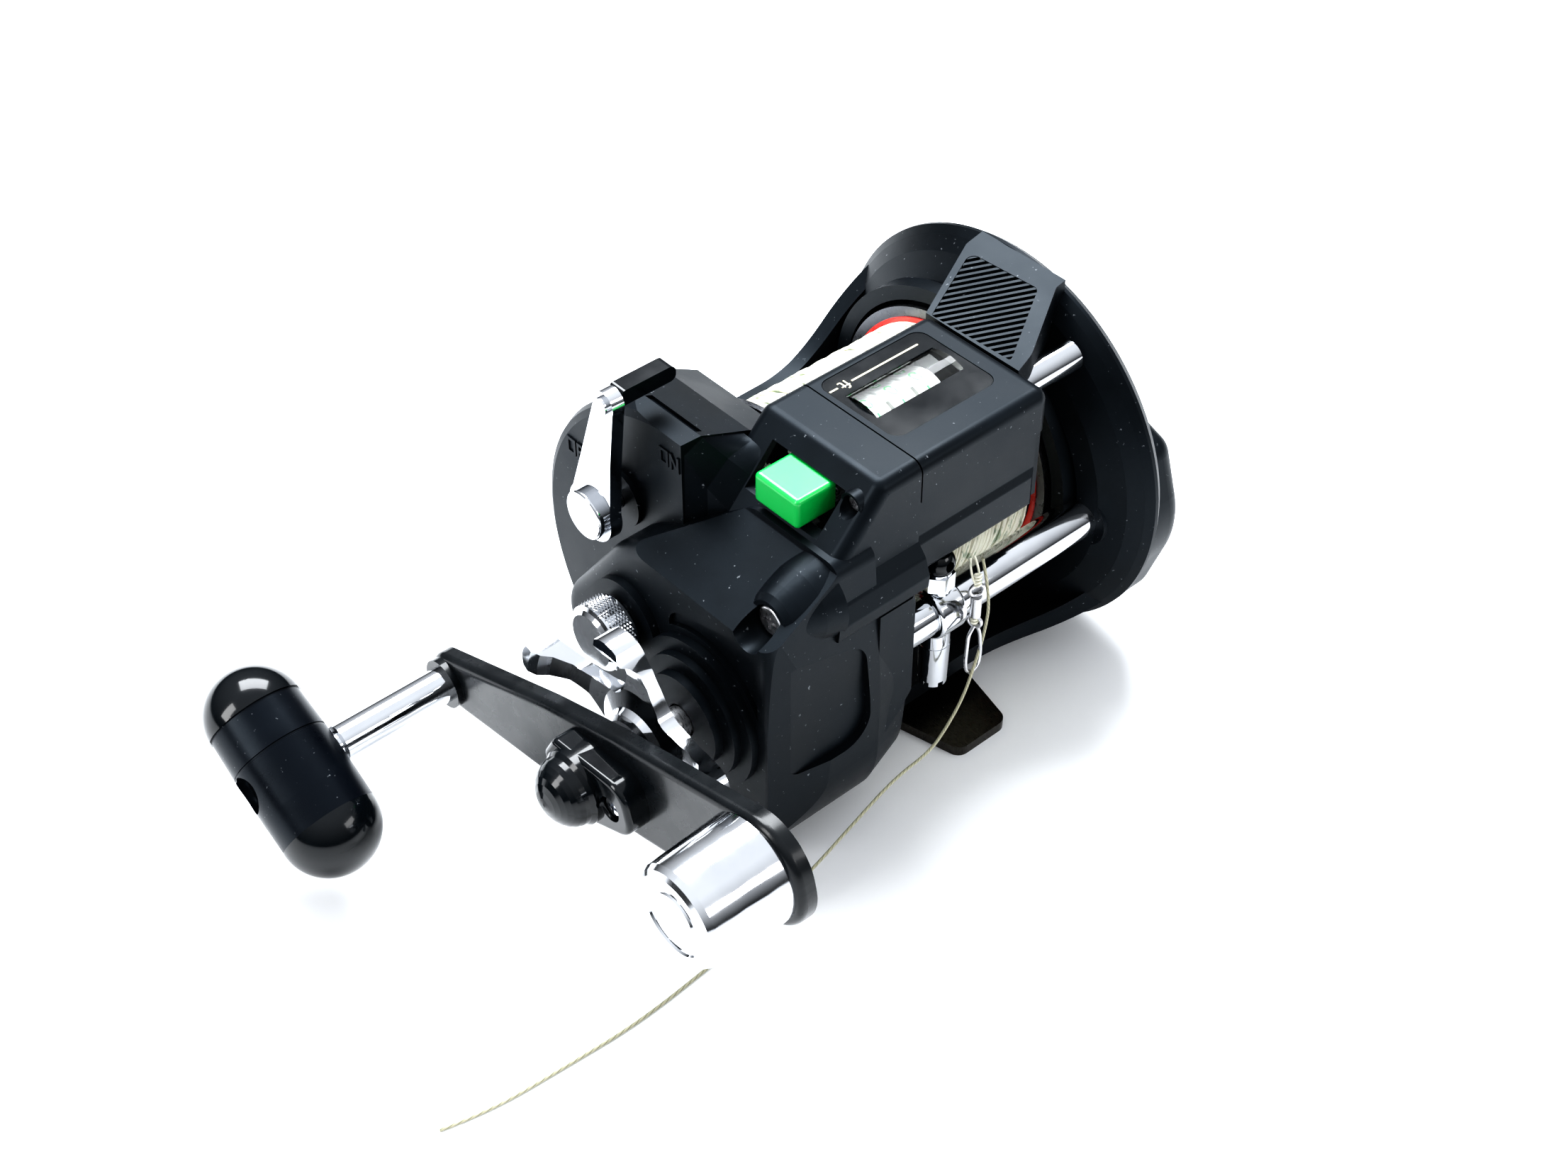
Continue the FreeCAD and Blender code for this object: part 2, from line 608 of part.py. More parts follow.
def frame():
    body = fuse([right_plate(), left_ring()] + frame_bars() + counter_floor() + [thumb_bridge()])
    bores = [
        tube_x(-30, -15, COUNTER, 2.3), tube_x(-30, -15, REDUCER, PIN_R), tube_x(-30, -15, TRANSFER, PIN_R),
        tube_x(-60, TUBE_X[1], TUBE, TUBE_R + 0.02), tube_x(0, 29.0, PILLAR, 3.0),
        tube_x(-30, -20, HOUSING_SCREW, 0.92), box((-12, 12), (-40, 40), (-5, FOOT_T)),
    ]
    bores += [Part.makeCylinder(1.5, 12, V(x, y, 0)) for x, y in FOOT_RIVETS]
    for bore in bores:
        body = body.cut(bore)
    return body


def gear_plate():
    """Flat plate that carries the gears inside the handle side."""
    plate = tube_x(-30.0, -28.5, RING, 35.8).common(box((-60, 0), (-31.0, 60), (0, CAP_Z[0] - 1.0)))
    holes = [(SPOOL, 8.0), (DRIVE, 3.06), (TUBE, 7.2), (DOG_PIVOT, 1.0), (REDUCER, 4.0)]
    for axis, r in holes + [(post, 1.0) for post in YOKE_POSTS]:
        plate = plate.cut(tube_x(-40, 0, axis, r))
    return plate


# ---- palm side cover ----
def palm_side_cover():
    """Low cone behind the ring, with a bulge for the palm and a slot for the clicker."""
    dome = turned([
        (RIM_BACK_X, 0.0), (RIM_BACK_X, 40.6), (37.4, 38.2), (39.5, 34.4), (42.6, 28.6), (44.2, 22.0),
        (44.8, 0.0),
    ], RING)
    hollow = turned([
        (RIM_BACK_X - 0.1, 0.0), (RIM_BACK_X - 0.1, 38.2), (36.2, 36.6), (38.2, 32.6), (41.0, 26.8),
        (42.2, 20.0),
        (42.8, 0.0),
    ], RING)
    bulge = round_edges(plate_x(PALM_OUTLINE, RIM_BACK_X, 48.0), 4.0, at_x(48.0))
    palm = fuse([dome, bulge]).cut(hollow)
    palm = palm.cut(plate_x(inset(PALM_OUTLINE, 2.4), RIM_BACK_X - 0.1, 45.8))
    posts = [tube_x(32.5, 46.5, polar(SPOOL, a, 22.0), 2.2) for a in (20, 140, 260)]
    palm = fuse([
        palm, ring_x(33.6, 36.4, RING, 38.2, 36.9), tube_x(31.0, 33.0, SPOOL, 26.0),
        tube_x(27.5, 33.0, SPOOL, 7.5),
    ] + posts)
    slot = plate_x([(10.0, 22.0, 1.9), (10.0, 35.0, 1.9), (14.0, 35.0, 1.9), (14.0, 22.0, 1.9)], 30, 60)
    for bore in (tube_x(20, 31.5, SPOOL, 5.0), tube_x(31, 34, SPOOL, 3.0), slot):
        palm = palm.cut(bore)
    return palm


def clicker_button():
    axis = (12.0, 25.4)
    return fuse([tube_x(48.2, 51.0, axis, 3.4), tube_x(44.4, 48.4, axis, 1.7), tube_x(43.8, 44.8, axis, 2.6)])


# ---- screws ----
def screw(head_x, tip_x, axis, head_r, head_t, shank_r):
    """Pan-head screw that points along +X, with a cross recess in its head."""
    seat = head_x + head_t
    head = round_edges(tube_x(head_x, seat, axis, head_r), head_t * 0.45, at_x(head_x))
    half = head_r * 0.55
    slot = 0.35
    depth = (head_x - 0.1, head_x + head_t * 0.6)
    y, z = axis
    cross = fuse([
        box(depth, (y - half, y + half), (z - slot, z + slot)),
        box(depth, (y - slot, y + slot), (z - half, z + half)),
    ])
    return head.fuse(tube_x(seat, tip_x, axis, shank_r)).cut(cross).removeSplitter()


def case_screws():
    return Part.makeCompound([
        screw(-50.6, -36.0, BIG_SCREW, 3.0, 1.3, 1.3),
        screw(-31.7, -24.5, HOUSING_SCREW, 1.7, 1.1, 0.9),
        screw(CLUTCH_FACE_X - 0.1, -38.0, FACE_SCREW, 1.7, 0.9, 0.9),
    ])


# ---- reel foot ----
def reel_foot():
    half = FOOT_LENGTH / 2
    wide, narrow, waist = 10.5, 6.4, 16.0
    foot = plate_z([
        (-narrow, -half, 2.5), (narrow, -half, 2.5), (wide, -waist, 8.0), (wide, waist, 8.0),
        (narrow, half, 2.5), (-narrow, half, 2.5), (-wide, waist, 8.0), (-wide, -waist, 8.0),
    ], 0, FOOT_T)
    saddle = box((-9.0, 9.0), (-12.0, 12.0), (1.0, 8.0)).cut(tube_x(-30, 30, RING, BAR_R + 0.02))
    foot = fuse([foot, saddle])
    for x, y in FOOT_RIVETS:
        foot = foot.cut(Part.makeCylinder(1.5, 30, V(x, y, -5)))
    return foot


def foot_rivets():
    rivets = []
    for x, y in FOOT_RIVETS:
        inner_z = RING[1] - math.sqrt(37.6 ** 2 - y ** 2) + 0.6
        shank = Part.makeCylinder(RIVET_R, inner_z - 0.2, V(x, y, 0.2))
        rivets.append(shank.fuse(Part.makeCylinder(2.4, 1.0, V(x, y, inner_z))).removeSplitter())
    return Part.makeCompound(rivets)


# ---- level wind ----
def level_wind_tube():
    """Guard tube round the worm, slotted underneath for the pawl."""
    tube = ring_x(TUBE_X[0], TUBE_X[1] - 0.2, TUBE, TUBE_R, TUBE_BORE_R)
    return tube.cut(box((-21.5, 25.5), (TUBE[0] - 1.3, TUBE[0] + 1.3), (TUBE[1] - 6, TUBE[1])))


def worm_shaft():
    """Shaft with two crossed helical grooves."""
    worm = tube_x(-36.0, 30.4, TUBE, WORM_R)
    for left_hand in (False, True):
        helix = Part.makeHelix(WORM_LEAD, 40.5, GROOVE_R, 0, left_hand)
        helix.Placement = FreeCAD.Placement(V(-18.0, *TUBE), FreeCAD.Rotation(V(0, 0, 1), V(1, 0, 0)))
        start = helix.Vertexes[0].Point
        corners = ((-0.5, -0.65), (-0.5, 0.65), (0.5, 0.65), (0.5, -0.65))
        rim = polygon([start + V(dx, 0, dz) for dx, dz in corners])
        worm = worm.cut(Part.Wire(helix.Edges).makePipeShell([rim], True, True))
    return worm


def upright(z0, z1, r0, r1):
    """Piece of the carriage's upright, centred over the guard tube."""
    if abs(r0 - r1) < 1e-6:
        return Part.makeCylinder(r0, z1 - z0, V(CARRIAGE_X, TUBE[0], z0))
    return Part.makeCone(r0, r1, z1 - z0, V(CARRIAGE_X, TUBE[0], z0))


def line_carriage():
    collar = tube_x(CARRIAGE_X - 3.2, CARRIAGE_X + 3.2, TUBE, 5.2)
    collar = round_edges(collar, 0.8, lambda e: e.BoundBox.XLength < 0.01)
    hexagon = [V(CARRIAGE_X + 3.1 * math.cos(math.radians(60 * k + 10)),
                 TUBE[0] + 3.1 * math.sin(math.radians(60 * k + 10)), 45.6) for k in range(6)]
    hexagon = Part.Face(polygon(hexagon)).extrude(V(0, 0, 3.4))
    body = fuse([collar, upright(31.8, TUBE[1], 2.9, 2.9), upright(TUBE[1], 45.8, 2.5, 2.5), hexagon,
                 upright(48.9, 49.6, 2.6, 2.6)])
    body = body.cut(tube_x(CARRIAGE_X - 9, CARRIAGE_X + 9, TUBE, TUBE_R + RUNNING))
    return body.cut(upright(30.0, TUBE[1], PAWL_R + RUNNING, PAWL_R + RUNNING))


def carriage_pawl():
    return upright(31.8, TUBE[1], PAWL_R, PAWL_R).cut(tube_x(-30, 10, TUBE, WORM_R + RUNNING))


def pawl_cap():
    """Screw cap under the carriage, with notches round its lower rim."""
    cap = upright(22.2, 31.8, 2.75, 3.0).cut(upright(22.0, 25.0, 1.8, 1.8))
    for turn in (20, 80, 140):
        notch = Part.makeBox(9, 1.1, 1.2, V(-4.5, -0.55, 0))
        notch.rotate(V(0, 0, 0), V(0, 0, 1), turn)
        notch.translate(V(CARRIAGE_X, TUBE[0], 22.0))
        cap = cap.cut(notch)
    return cap


def line_guide():
    """Rounded eye on top of the carriage that the line runs through."""
    ball = Part.makeSphere(3.0, V(CARRIAGE_X, TUBE[0], 51.2))
    ball = ball.common(box((-30, 0), (-40, -20), (49.6, 53.4)))
    return ball.cut(Part.makeCylinder(1.0, 10, V(CARRIAGE_X, TUBE[0] - 5, 51.6), V(0, 1, 0)))


# ---- spool ----
def spool():
    left, right = SPOOL_X
    outer_left = left - FLANGE_T
    outer_right = right + FLANGE_T
    edge_r, shaft_r, bevel = 24.0, 3.2, 0.8
    return turned([
        (outer_left, shaft_r), (outer_left, edge_r), (outer_left + bevel, FLANGE_R), (left, FLANGE_R),
        (left, HUB_R), (right, HUB_R), (right, FLANGE_R), (outer_right - bevel, FLANGE_R),
        (outer_right, edge_r), (outer_right, shaft_r),
    ], SPOOL)


def spool_rings():
    thick = 0.35
    starts = (SPOOL_X[0], SPOOL_X[1] - thick)
    return Part.makeCompound([ring_x(x, x + thick, SPOOL, 25.4, 24.3) for x in starts])


def spool_bearings():
    return Part.makeCompound([
        ring_x(27.7, 31.3, SPOOL, 4.98, SPOOL_SHAFT_R + 0.03),
        ring_x(-30.2, -27.2, SPOOL, 7.98, SPOOL_SHAFT_R + 0.03),
    ])


# ---- drive train ----
def pinion_gear():
    turn = mesh_turn(DRIVE, SPOOL, MAIN_TEETH, PINION_TEETH, 0)
    bore = SPOOL_SHAFT_R + RUNNING
    teeth = gear(-42.05, -36.6, SPOOL, PINION_TEETH, MAIN_MODULE, bore, turn)
    collars = [ring_x(-43.6, -42.05, SPOOL, 5.0, bore), ring_x(-44.1, -43.6, SPOOL, 6.0, bore)]
    return teeth.fuse(collars).removeSplitter()


def ratchet():
    rim = []
    for k in range(RATCHET_TEETH):
        for r, step in ((9.0, 0.0), (7.4, 4.0)):
            rim.append(V(-32.6, *polar(DRIVE, 360 * k / RATCHET_TEETH + step, r)))
    return Part.Face(polygon(rim)).extrude(V(1.5, 0, 0)).cut(tube_x(-40, 0, DRIVE, 3.0))


def drag_washers():
    step, thick = 0.75, 0.55
    discs = []
    for k in range(3):
        start = -38.3 + step * k
        discs.append(ring_x(start, start + thick, DRIVE, 12.0 if k % 2 else 11.0, 3.05))
    return Part.makeCompound(discs)


def anti_reverse_dog():
    tip = polar(DOG_PIVOT, 122.5, 16.0)
    corners = [
        (*polar(DOG_PIVOT, -20, 3.2), 1.2), (*polar(tip, 32.5, 0.9), 0.3), (*polar(tip, 212.5, 0.6), 0.3),
        (*polar(DOG_PIVOT, 265, 3.2), 1.2),
    ]
    return plate_x(corners, -32.6, -31.1).cut(tube_x(-40, -20, DOG_PIVOT, 1.05))


# ---- counter drive and digit wheels ----
def counter_reducer():
    turn = mesh_turn(SPOOL, REDUCER, SPOOL_GEAR_TEETH, REDUCER_TEETH, 0)
    wheel = gear(-32.6, -31.2, REDUCER, REDUCER_TEETH, REDUCER_MODULE, 1.0, turn)
    small = gear(-31.2, -29.6, REDUCER, REDUCER_PINION_TEETH, TRANSFER_MODULE, 1.0, 0)
    return wheel.fuse(small).removeSplitter()


def counter_transfer_gear():
    turn = mesh_turn(REDUCER, TRANSFER, REDUCER_PINION_TEETH, TRANSFER_TEETH, 0)
    wheel = gear(-31.0, -29.4, TRANSFER, TRANSFER_TEETH, TRANSFER_MODULE, 1.0, turn)
    small = gear(-29.4, -25.8, TRANSFER, TRANSFER_PINION_TEETH, COUNTER_MODULE, 1.0, 0)
    return wheel.fuse(small).removeSplitter()


def counter_gear():
    turn = mesh_turn(TRANSFER, COUNTER, TRANSFER_PINION_TEETH, COUNTER_TEETH, 0)
    wheel = gear(-28.2, -26.0, COUNTER, COUNTER_TEETH, COUNTER_MODULE, 1.0, turn)
    return wheel.fuse(ring_x(-26.0, WHEEL_X[0] - 0.2, COUNTER, 2.1, 1.0)).removeSplitter()


def fixed_pins():
    """Pins of the counter gears, the dog and the yoke, and the counter's axle."""
    reducer_pin = fuse([tube_x(-33.0, -23.6, REDUCER, PIN_R), tube_x(-33.6, -33.0, REDUCER, 1.6)])
    dog_pin = fuse([tube_x(-33.6, -28.5, DOG_PIVOT, 1.0), tube_x(-33.6, -33.0, DOG_PIVOT, 1.8)])
    axle = tube_x(-28.3, CAP_X[1] - 1.9, COUNTER, PIN_R)
    posts = [tube_x(-44.9, -28.5, post, 1.0) for post in YOKE_POSTS]
    return Part.makeCompound([reducer_pin, tube_x(-31.0, -23.6, TRANSFER, PIN_R), dog_pin, axle] + posts)


def digit_wheel(x0):
    """Wheel with a shallow band for the digits and a hollow left side."""
    wheel = ring_x(x0, x0 + WHEEL_W, COUNTER, WHEEL_R, 1.0)
    band = ring_x(x0 + 1.0, x0 + WHEEL_W - 1.0, COUNTER, WHEEL_R + 1, WHEEL_R - 0.15)
    return wheel.cut(ring_x(x0 - 1, x0 + 1.0, COUNTER, WHEEL_R - 1.4, 2.6)).cut(band)


# ---- counter cap, label and window ----
def rectangle(x, y, radius):
    return [(x[0], y[0], radius), (x[1], y[0], radius), (x[1], y[1], radius), (x[0], y[1], radius)]


def counter_cap():
    """Cover of the digit wheels: an overhanging lid, a body, and a skirt along its lower edge."""
    x0 = CAP_X[0] + CAP_SEAM
    body_x1 = CAP_X[1] - 1.5
    lid_z = CAP_Z[1] - LID_DROP
    side = [
        (CAP_Y[1], CAP_Z[0], 0), (-30.9, CAP_Z[0], 0.8), (-31.8, 55.4, 0.8), (-31.8, 61.4, 0.8),
        (-31.1, 63.0, 0.6), (-31.1, CAP_Z[1] - 3, 0), (CAP_Y[1], CAP_Z[1] - 3, 0),
    ]
    plan = [
        (x0 - 1, -40, 0), (x0 - 1, 5, 0), (body_x1, 5, 0),
        (body_x1, -31.9, 2.2), (x0, -31.9, 0), (x0, -40, 0),
    ]
    body = plate_x(side, x0, body_x1).common(plate_z(plan, 40, 100))
    lid = round_edges(
        box((x0, CAP_X[1]), CAP_Y, (lid_z, CAP_Z[1])), 2.4,
        lambda e: e.CenterOfMass.x > x0 + 0.1 and (abs(e.CenterOfMass.z - CAP_Z[1]) < 0.01 or (
            e.BoundBox.ZLength > 5 and e.CenterOfMass.x > 0)))
    cap = fuse([body, lid])
    rooms = [
        box((x0 - 1, CAP_X[1] - 3.1), (CAP_Y[0] + 2.5, CAP_Y[1] - 1.5), (CAP_Z[0] - 1, CAP_Z[1] - 1.8)),
        plate_z(rectangle(LABEL_X, LABEL_Y, 2.5), CAP_Z[1] - 0.6, CAP_Z[1] + 1),
        box(WINDOW_X, WINDOW_Y, (CAP_Z[1] - 3, CAP_Z[1] + 1)),
        box((-30, 30), (CAP_Y[0] + 2.5, 10), (40, CAP_Z[0] + 1.6)),
        tube_x(-30, 30, SPOOL, 27.5), tube_x(0, CAP_X[1] - 1.8, COUNTER, 1.0),
    ]
    for room in rooms:
        cap = cap.cut(room)
    return cap


def counter_label():
    gap = 0.1
    x = (LABEL_X[0] + gap, LABEL_X[1] - gap)
    y = (LABEL_Y[0] + gap, LABEL_Y[1] - gap)
    label = plate_z(rectangle(x, y, 2.4), CAP_Z[1] - 0.6, CAP_Z[1] - 0.1)
    return label.cut(box(WINDOW_X, WINDOW_Y, (0, 100)))


def counter_window():
    """Clear lens, slightly curved across the digits."""
    gap = 0.1
    lens_r = 8.4
    axis = ((WINDOW_Y[0] + WINDOW_Y[1]) / 2, CAP_Z[1] + 0.7 - lens_r)
    lens = tube_x(WINDOW_X[0] + gap, WINDOW_X[1] - gap, axis, lens_r)
    return lens.common(box((-40, 40), (WINDOW_Y[0] + gap, WINDOW_Y[1] - gap), (CAP_Z[1] - 1.8, CAP_Z[1] + 3)))


# ---- reset button ----
def reset_spring():
    helix = Part.makeHelix(1.7, 5.1, 0.85)
    place = V(BUTTON_X[1] + 0.12, BUTTON_Y[0] + 1.2, 73.4)
    helix.Placement = FreeCAD.Placement(place, FreeCAD.Rotation(V(0, 0, 1), V(1, 0, 0)))
    rim = Part.Wire(Part.makeCircle(0.2, helix.Vertexes[0].Point, V(0, 1, 1)))
    return Part.Wire(helix.Edges).makePipeShell([rim], True, True)


# ---- clutch lever ----
def clutch_lever():
    """Teardrop blade that narrows from the shaft to the thumb tab."""
    along = math.degrees(math.atan2(LEVER_TIP[1] - LEVER[1], LEVER_TIP[0] - LEVER[0]))
    left, right = along + 90, along - 90
    corners = [
        (*polar(LEVER, left, 5.6), 0), (*polar(polar(LEVER, along, 15), left, 3.6), 10),
        (*polar(LEVER_TIP, left, 2.5), 0), (*polar(LEVER_TIP, right, 2.5), 0),
        (*polar(polar(LEVER, along, 12), right, 4.2), 10), (*polar(LEVER, right, 5.6), 0),
    ]
    lever = fuse([
        plate_x(corners, *LEVER_X), tube_x(*LEVER_X, LEVER, 5.9), tube_x(*LEVER_X, LEVER_TIP, 2.6),
        tube_x(LEVER_X[0] - 0.9, LEVER_X[0] + 0.5, LEVER_TIP, 1.7),
    ])
    return lever.cut(tube_x(-60, -50, LEVER, 1.95))


def lever_thumb_tab():
    start = LEVER_X[1] + 0.02
    low, high = 84.8, 87.9
    corners = [(start, low, 0.6), (start, high, 1.0), (-39.6, high, 1.4), (-39.6, low, 1.2)]
    tab = plate_y(corners, LEVER_TIP[0] - 1.7, LEVER_TIP[0] + 1.7)
    return tab.cut(tube_x(-60, -30, RING, 41.6))


def lever_shaft():
    """Round cap, shaft and the cam that pushes the clutch yoke."""
    cap = round_edges(tube_x(-55.9, LEVER_X[0], LEVER, 4.9), 0.5, at_x(-55.9))
    y, z = LEVER
    cam = [(y - 3.4, z + 2.6, 1.2), (y + 3.4, z + 2.6, 1.2), (y + 2.6, z - 4.6, 1.2), (y - 2.6, z - 4.6, 1.2)]
    return fuse([cap, tube_x(LEVER_X[0], -41.0, LEVER, 1.95), plate_x(cam, -44.5, -42.6)])


def clutch_yoke():
    corners = [(-4.0, 35.0, 1.0), (14.5, 30.5, 1.0), (17.0, 48.5, 1.5), (10.0, 51.5, 1.5), (-4.0, 50.0, 1.0)]
    yoke = plate_x(corners, -43.3, -42.15).cut(tube_x(-50, -40, SPOOL, 5.12))
    for post in YOKE_POSTS:
        yoke = yoke.cut(tube_x(-50, -40, post, 1.06))
    return yoke


# ---- tension knob and star drag ----
def tension_knob():
    return turned([
        (-65.0, 0.0), (-65.0, 5.2), (-64.4, 5.9), (-64.0, 6.55), (-59.0, 6.55), (-58.4, 6.0), (-58.0, 5.2),
        (-58.0, 3.9), (-51.0, 3.9), (-51.0, 2.9), (-62.5, 2.9), (-62.5, 0.0),
    ], SPOOL)


def star_outline(x):
    """Five arms with rounded valleys between them; the half angle narrows towards each tip."""
    flank = [(26.4, 6.4), (23.5, 7.6), (19.5, 7.4), (15.5, 9.7), (12.2, 18.0)]
    valley = (10.2, 180 / STAR_ARMS)
    tip_r = 27.1

    def point(angle, r):
        return V(x, *polar(DRIVE, angle, r))

    edges = []
    for k in range(STAR_ARMS):
        arm = STAR_TURN + k * 360 / STAR_ARMS
        following = arm + 360 / STAR_ARMS
        edges.append(Part.Arc(point(arm - flank[0][1], flank[0][0]), point(arm, tip_r),
                              point(arm + flank[0][1], flank[0][0])).toShape())
        curve = Part.BSplineCurve()
        curve.interpolate([point(arm + a, r) for r, a in flank] + [point(arm + valley[1], valley[0])]
                          + [point(following - a, r) for r, a in reversed(flank)])
        edges.append(curve.toShape())
    return Part.Face(Part.Wire(edges))


def star_drag():
    """Star wheel whose arms bend outwards and end in thick pads."""
    dished = turned([
        (-72.6, 3.05), (-72.6, 6.2), (-71.8, 7.0), (-70.6, 7.8), (-69.6, 11.0), (-69.8, 15.0), (-71.0, 19.0),
        (-73.2, 22.0), (-75.0, 23.4), (-75.8, 25.0), (-75.5, 28.0), (-71.4, 28.0), (-70.2, 24.5),
        (-69.2, 21.5), (-68.0, 18.0), (-67.2, 14.0), (-66.6, 9.0), (-65.8, 6.6), (-65.8, 3.05),
    ], DRIVE)
    return dished.common(star_outline(-78.0).extrude(V(14.0, 0, 0)))


# ---- handle ----
def beside(distance, offset):
    """Point on the arm: distance from the shaft towards the knob, offset above the arm's middle."""
    return polar(polar(DRIVE, -ARM_TILT, distance), 90 - ARM_TILT, offset)


KNOB_AXIS = beside(ARM_KNOB, 0)
WEIGHT_AXIS = beside(-ARM_WEIGHT, 0)
CAP_SCREW = beside(-9.6, -0.6)


def handle_arm():
    sides = [
        (-ARM_WEIGHT - 11.6, 10.8, 9.8), (-8.0, 10.6, 40.0), (12.0, 9.4, 20.0), (ARM_KNOB + 5.0, 5.0, 4.8),
        (ARM_KNOB + 5.0, -5.0, 4.8), (10.0, -9.6, 20.0), (-10.0, -10.2, 40.0),
        (-ARM_WEIGHT - 11.6, -10.6, 9.8),
    ]
    arm = plate_x([(*beside(d, o), r) for d, o, r in sides], *ARM_X)
    arm = round_edges(arm, 1.5, at_x(ARM_X[0]))
    arm = fuse([arm, tube_x(ARM_X[0] - 1.2, ARM_X[0] + 1.5, KNOB_AXIS, 5.0)])
    for axis, r in ((DRIVE, 3.02), (KNOB_AXIS, 2.6), (WEIGHT_AXIS, 3.0)):
        arm = arm.cut(tube_x(-90, -70, axis, r))
    return arm.cut(tube_x(-90, ARM_X[0] + 1.0, CAP_SCREW, 1.05))


def handle_nut():
    start = -83.4
    end = ARM_X[0]
    rim = [V(start, *polar(DRIVE, 60 * k, 5.2)) for k in range(6)]
    return Part.Face(polygon(rim)).extrude(V(end - start, 0, 0)).cut(tube_x(-90, -70, DRIVE, 3.0))


def nut_cap():
    """Rounded nose over the nut, with a flat tail that takes the locking screw."""
    tail_x, nose_x = -84.6, -91.4
    tail = [
        (4.4, 8.0, 2.0), (8.2, 4.0, 1.5), (8.2, -4.0, 1.5), (4.4, -8.0, 2.0),
        (-14.6, -5.2, 4.5), (-14.6, 5.0, 4.5),
    ]
    plate = plate_x([(*beside(d, o), r) for d, o, r in tail], ARM_X[0], tail_x)
    plate = round_edges(plate, 1.0, at_x(tail_x))
    nose = turned([(ARM_X[0], 0.0), (ARM_X[0], 7.4), (-85.4, 7.2)] + domed(-86.2, nose_x, 6.6), DRIVE)
    cap = fuse([plate, nose])
    for bore in (tube_x(-84.2, -70, DRIVE, 6.2), tube_x(-90, -70, CAP_SCREW, 1.05),
                 tube_x(-90, -82.4, CAP_SCREW, 2.5)):
        cap = cap.cut(bore)
    return cap


def counterweight():
    """Slightly tapered weight with a ring groove in its end."""
    end = WEIGHT_END_X
    groove = end + 0.4
    weight = turned([
        (ARM_X[0], 0.0), (ARM_X[0], WEIGHT_R), (end + 1.6, 9.5), (end + 0.5, 9.0), (end, 8.2), (end, 6.6),
        (groove, 6.4), (groove, 5.3), (end, 5.1), (end, 0.0),
    ], WEIGHT_AXIS)
    return fuse([weight, tube_x(ARM_X[0], ARM_X[1] + 0.8, WEIGHT_AXIS, 2.98)])


def knob_post():
    """Post that carries the knob, with its riveted end."""
    end = -119.5
    rivet = round_edges(tube_x(end - 1.7, end, KNOB_AXIS, 3.2), 0.6, at_x(end - 1.7))
    return fuse([
        tube_x(ARM_X[0] - 24.0, ARM_X[0] - 1.2, KNOB_AXIS, POST_R),
        tube_x(end, ARM_X[1] + 0.6, KNOB_AXIS, POST_PIN_R),
        rivet.cut(tube_x(-122, end - 0.9, KNOB_AXIS, 1.0)),
    ])


# ---- knob: barrel with two hemispherical end caps ----
KNOB_DIR = V(0, math.cos(math.radians(KNOB_LEAN)), math.sin(math.radians(KNOB_LEAN)))
KNOB_CENTRE = V(KNOB_X, *KNOB_AXIS)
BARREL_HALF = KNOB_LENGTH / 2 - KNOB_R


def knob_barrel():
    profile = [
        (-BARREL_HALF, 0), (-BARREL_HALF, KNOB_R - 0.1), (-6, KNOB_R), (3.4, KNOB_R), (3.5, KNOB_R - 0.25),
        (3.9, KNOB_R - 0.25), (4.0, KNOB_R - 0.05), (BARREL_HALF, KNOB_R - 0.35), (BARREL_HALF, 0),
    ]
    points = [KNOB_CENTRE + KNOB_DIR * d + V(r, 0, 0) for d, r in profile]
    barrel = Part.Face(polygon(points)).revolve(KNOB_CENTRE, KNOB_DIR, 360)
    for bore in (tube_x(-130, -100, KNOB_AXIS, POST_PIN_R + RUNNING), tube_x(-130, -119.4, KNOB_AXIS, 3.7),
                 tube_x(ARM_X[0] - 24.3, -100, KNOB_AXIS, POST_R + 0.1)):
        barrel = barrel.cut(bore)
    return barrel


def knob_caps():
    caps = []
    for side in (-1, 1):
        base = KNOB_CENTRE + KNOB_DIR * (side * (BARREL_HALF + KNOB_GAP))
        keep = Part.makeCylinder(20, 30, base, KNOB_DIR * side)
        caps.append(Part.makeSphere(KNOB_R, base).common(keep))
    return Part.makeCompound(caps)


# ---- swivel and the free end of the line ----
def round_path(points, share=0.45):
    """Straight runs joined by tangent arcs as large as the runs allow."""
    pts = [V(*p) for p in points]
    edges = []
    radii = []
    start = pts[0]
    for a, b, c in zip(pts, pts[1:], pts[2:]):
        back = (a - b).normalize()
        on = (c - b).normalize()
        turn = math.pi - back.getAngle(on)
        reach = share * min((a - b).Length, (c - b).Length)
        radius = reach / math.tan(turn / 2)
        radii.append(radius)
        enter = b + back * reach
        leave = b + on * reach
        middle = b + (back + on).normalize() * (radius / math.cos(turn / 2) - radius)
        edges.append(Part.LineSegment(start, enter).toShape())
        edges.append(Part.Arc(enter, middle, leave).toShape())
        start = leave
    edges.append(Part.LineSegment(start, pts[-1]).toShape())
    return Part.Wire(edges), radii


def swept(points, diameter):
    path, radii = round_path(points)
    first = path.Edges[0]
    rim = Part.Wire(Part.makeCircle(diameter / 2, V(*points[0]), first.tangentAt(first.FirstParameter)))
    tube = path.makePipeShell([rim], True, True)
    print("cord length", round(path.Length, 1), "least radius", round(min(radii), 2))
    return tube


